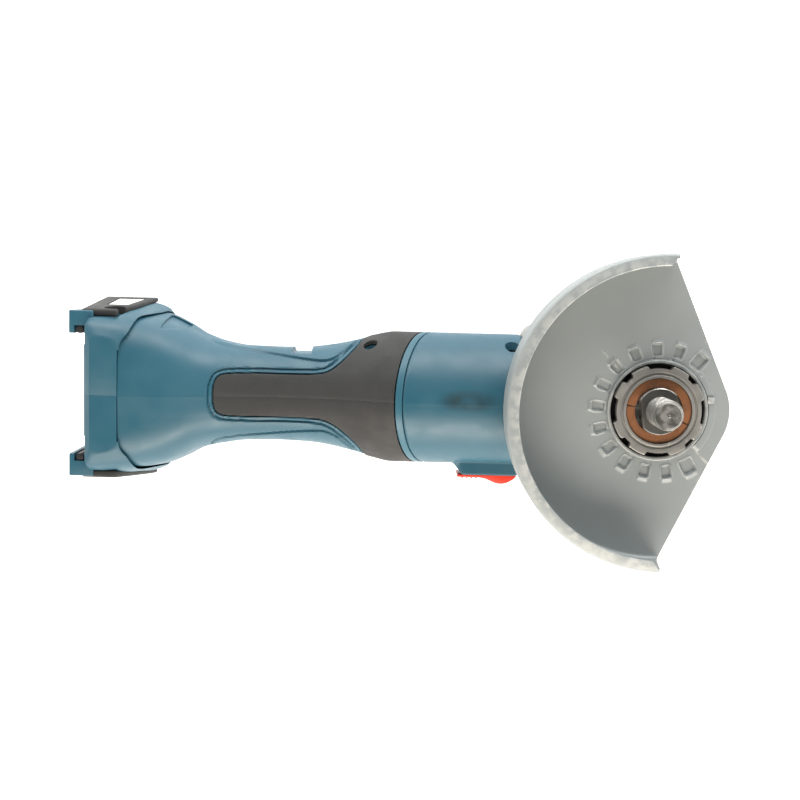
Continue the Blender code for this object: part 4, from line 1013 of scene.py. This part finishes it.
def make_latch():
    pivot, across = latch_pivot()
    lever = rounded_box("latch_lever", (28.2, -2.4, 58.8), (47, 2.4, 61.2), 0.3, turn=LATCH_DEG)
    tooth = rounded_box("tooth", (28.2, -1.7, 60), (30.2, 1.7, 65.1), 0.3, turn=LATCH_DEG)
    pad = rounded_box("pad", (44, -7.5, 57.4), (48.5, 7.5, 61.6), 0.9, 4, turn=LATCH_DEG)
    hub = rod("hub", pivot - across * 2.4, pivot + across * 2.4, 2.2, 40, 0.2)
    join(lever, tooth, pad, hub)
    for y in (-4.8, -2.4, 0, 2.4, 4.8):
        cut(lever, rounded_box("grip", (45.2, y - 0.35, 61.1), (49, y + 0.35, 63), 0.1, 1, turn=LATCH_DEG))
    cut(lever, rod("bore", pivot - across * 10, pivot + across * 10, 1.35, 32, 0))
    finish_piece(lever, ["guard_latch"], STEEL, body="guard_latch")
    profile = fillet([(0, 0.6), (6.4, 0.6), (7.0, 1.2), (7.0, 3.0), (6.4, 3.6), (0, 3.6)], 0.3)
    button = revolve("lock_cap", profile, 96, frame_to=Matrix.Translation((12.4, 0, 0)))
    join(button, rod("pin", (10.4, 0, 3), (10.4, 0, 35.4), 1.9, 40, 0.4))
    finish_piece(button, ["lock_button"], BLACK, body="lock_button")


# ---------------- guard
POCKETS_MID, POCKET_PITCH = 177.5, 20.45
GUARD_SET_DEG = -1.0


def make_guard():
    """Stamped pan with a raised hole collar, thirteen embossed pockets and a rolled, turned-in lip."""
    plate, sheet, outer, lip_top, lip = 67.0, 1.6, 70.5, 89.0, 5.4
    bottom, inside, hole = plate - sheet, outer - sheet, 21.6

    def bends(low, high, count):
        return [(math.cos(b), math.sin(b)) for b in np.radians(np.linspace(low, high, count))]

    outside = [(hole, bottom)] + [(r, bottom) for r in np.linspace(26, 64, 12)]
    outside += [(outer - 3.5 + 3.5 * s, bottom + 3.5 - 3.5 * c) for c, s in bends(0, 90, 8)]
    outside += [(outer, z) for z in np.linspace(72, 86, 5)]
    outside += [(outer - 1.5 + 1.5 * c, lip_top - 1.75 + 1.5 * s) for c, s in bends(0, 72, 6)]
    outside += [(outer - lip + out, lip_top - down) for out, down in (
        (0.5, 0), (0.12, 0.25), (0, 0.8), (0.12, 1.35), (0.5, sheet))]
    outside += [(inside - 0.5, lip_top - sheet), (inside, lip_top - sheet - 0.5)]
    outside += [(inside, z) for z in np.linspace(85, 70, 5)]
    outside += [(inside - 2 + 2 * s, plate + 2 - 2 * c) for c, s in bends(84, 0, 7)]
    outside += [(r, plate) for r in np.linspace(64, 36, 10)]
    fine = [(r, plate) for r in np.arange(35.4, 23.4, -0.33)]
    collar = [(r, plate + rise) for r, rise in (
        (23.4, 0), (23.25, 0.18), (23.1, 0.62), (22.95, 1.05), (22.7, 1.2), (22.2, 1.2), (21.9, 1.12),
        (hole, 0.8))]
    profile = outside + fine + collar

    def emboss(R, Z, A):
        collar_turn = np.degrees(A) % 360
        px, py = R * np.cos(A) - 1.0, R * np.sin(A) + 0.4
        reach, true_r = np.hypot(px, py), R
        turn = np.degrees(np.arctan2(py, px)) % 360
        rise = np.zeros(R.shape)
        on = (np.abs(Z - plate) < 0.01) & (R > 23.45) & (R < 35.5)
        R = reach
        for i in range(13):
            centre = POCKETS_MID + (i - 6) * POCKET_PITCH
            off = (turn - centre + 180) % 360 - 180
            t = np.radians(off) * R
            large = i in (0, 12)
            half = 3.0 if large else 2.15 + (R - 28.0) * 0.07
            low, high = (25.2, 32.2 if large else 31.0)
            across, along = np.abs(t) - half, np.maximum(low - R, R - high)
            corner = np.hypot(np.maximum(across + 0.9, 0), np.maximum(along + 0.9, 0)) - 0.9
            d = np.where((across < -0.9) | (along < -0.9), np.maximum(across, along), corner)
            floor = -1.0 * (1 - smooth(-0.55, 0.10, d))
            rim = 0.22 * np.exp(-((d - 0.40) / 0.30) ** 2)
            sides = 1 - smooth(half - 0.6, half + 0.3, np.abs(t))
            bulge = 0.5 * np.exp(-((R - high - 0.85) / 0.85) ** 2) * sides
            pocket = floor + rim + bulge
            rise = np.where((np.abs(off) < 10.2) & (np.abs(pocket) > np.abs(rise)), pocket, rise)
        # a stepped arc on the open side and small creases between pockets at the collar
        R = true_r
        free = np.abs((collar_turn + 180) % 360 - 180)
        step = 0.55 * smooth(0.0, 0.7, 26.9 - R) * (1 - smooth(40, 44, free))
        rise = np.where(free < 48, np.maximum(rise, step), rise)
        crease = (turn - POCKETS_MID + POCKET_PITCH / 2 + 180) % POCKET_PITCH - POCKET_PITCH / 2
        dent = -0.4 * np.exp(-((crease * R * 0.01745) / 0.7) ** 2) * (1 - smooth(25.2, 26.6, R)) * (free > 62)
        return R, np.where(on, Z + (rise + dent), Z)

    guard = revolve("guard_pan", profile, 540, warp=emboss)
    nose_r, nose_x, lean = 25.0, 8.0, math.radians(24.5)
    normal = np.array((math.cos(lean), math.sin(lean)))
    along = np.array((-normal[1], normal[0]))
    arc = [(nose_x + nose_r * c, nose_r * s) for c, s in bends(-24, 24, 25)]
    far = np.array((nose_x, 0)) + normal * nose_r + along * 80
    back = -outer - 5
    outline = [(back, -far[1]), (far[0], -far[1])] + arc + [(far[0], far[1]), (back, far[1])]
    keep(guard, prism("front", outline, 60, 95))
    for side in (-1, 1):
        notch = [(1.6, side * 73), (0.7, side * 69.4), (-3.1, side * 64.2), (12, side * 60), (12, side * 73)]
        cut(guard, prism("lip_end", notch[::side], lip_top - sheet - 0.1, 95))
        rings = [[(x, side * 66, z), (14, side * 66, z), (14, side * 74, z), (x, side * 74, z)]
                 for x, z in ((3.8, plate + 1), (1.0, lip_top))]
        cut(guard, loft("wall_end", rings))
    join(guard, rounded_box("tab", (22.4, 4.2, plate - 0.4), (25.4, 7.0, plate + 1.42), 0.2, 2))
    guard.data.transform(Matrix.Rotation(math.radians(GUARD_SET_DEG), 4, "Z"))
    finish_piece(guard, ["guard"], GUARD, 30, "guard")


# ---------------- room, light and camera
def make_room():
    floor = bpy.data.meshes.new("floor")
    reach = 3.0
    floor.from_pydata([(x * reach, y * reach, -0.0002) for x, y in ((-1, -1), (1, -1), (1, 1), (-1, 1))],
                      [], [(0, 1, 2, 3)])
    obj = add_object("floor", floor)
    mat = bpy.data.materials.new("floor_white")
    mat.use_nodes = True
    set_inputs(mat.node_tree.nodes["Principled BSDF"], {
        "Base Color": (0.95, 0.95, 0.945, 1.0), "Roughness": 0.9, "Specular IOR Level": 0.0,
        "Emission Color": (1.0, 1.0, 0.99, 1.0), "Emission Strength": 0.62})
    obj.data.materials.append(mat)

    world = bpy.data.worlds.new("tent")
    bpy.context.scene.world = world
    world.use_nodes = True
    nodes, links = world.node_tree.nodes, world.node_tree.links
    coords = nodes.new("ShaderNodeTexCoord")
    split = nodes.new("ShaderNodeSeparateXYZ")
    links.new(coords.outputs["Generated"], split.inputs[0])
    height = map_range(nodes, links, split.outputs["Z"], (0.25, 1.0, 1.55, 0.12))
    fore = map_range(nodes, links, split.outputs["X"], (-1.0, 0.1, 0.6, 1.0), "LINEAR")
    links.new(multiply(nodes, links, height, fore), nodes["Background"].inputs["Strength"])
    nodes["Background"].inputs["Color"].default_value = (1.0, 0.995, 0.985, 1.0)

    def area(name, at, size, power, colour):
        light = bpy.data.lights.new(name, "AREA")
        light.shape = "RECTANGLE"
        light.size, light.size_y = size
        light.energy, light.color = power, colour
        lamp = add_object(name, light)
        lamp.location = at
        lamp.rotation_euler = (Vector((-0.12, 0, 0.03)) - Vector(at)).to_track_quat("-Z", "Y").to_euler()

    area("side_far", (-0.12, 0.9, 0.35), (1.4, 0.6), 12.0, (1.0, 1.0, 1.0))
    area("side_near", (-0.12, -0.85, 0.70), (1.4, 0.5), 20.0, (1.0, 0.90, 0.80))


def make_camera():
    camera = bpy.data.cameras.new("camera")
    camera.sensor_width = 36.0
    # a focal length of 1191.2 pixels in a picture 800 pixels wide
    camera.lens = camera.sensor_width * 1191.2 / 800
    obj = add_object("camera", camera)
    turn = Vector((-0.0987, -0.0011, 0.0257))
    place = Matrix.Translation((-0.1188, 0.0552, 0.6075))
    obj.matrix_world = place @ Matrix.Rotation(turn.length, 4, turn.normalized())
    bpy.context.scene.camera = obj
    bpy.context.scene.view_settings.view_transform = "Standard"


make_camera()
make_room()
make_guard()
make_bearing_flange()
make_spindle()
make_head()
make_latch()
make_screws()
make_barrel()
make_switch()
make_handle()
make_foot()
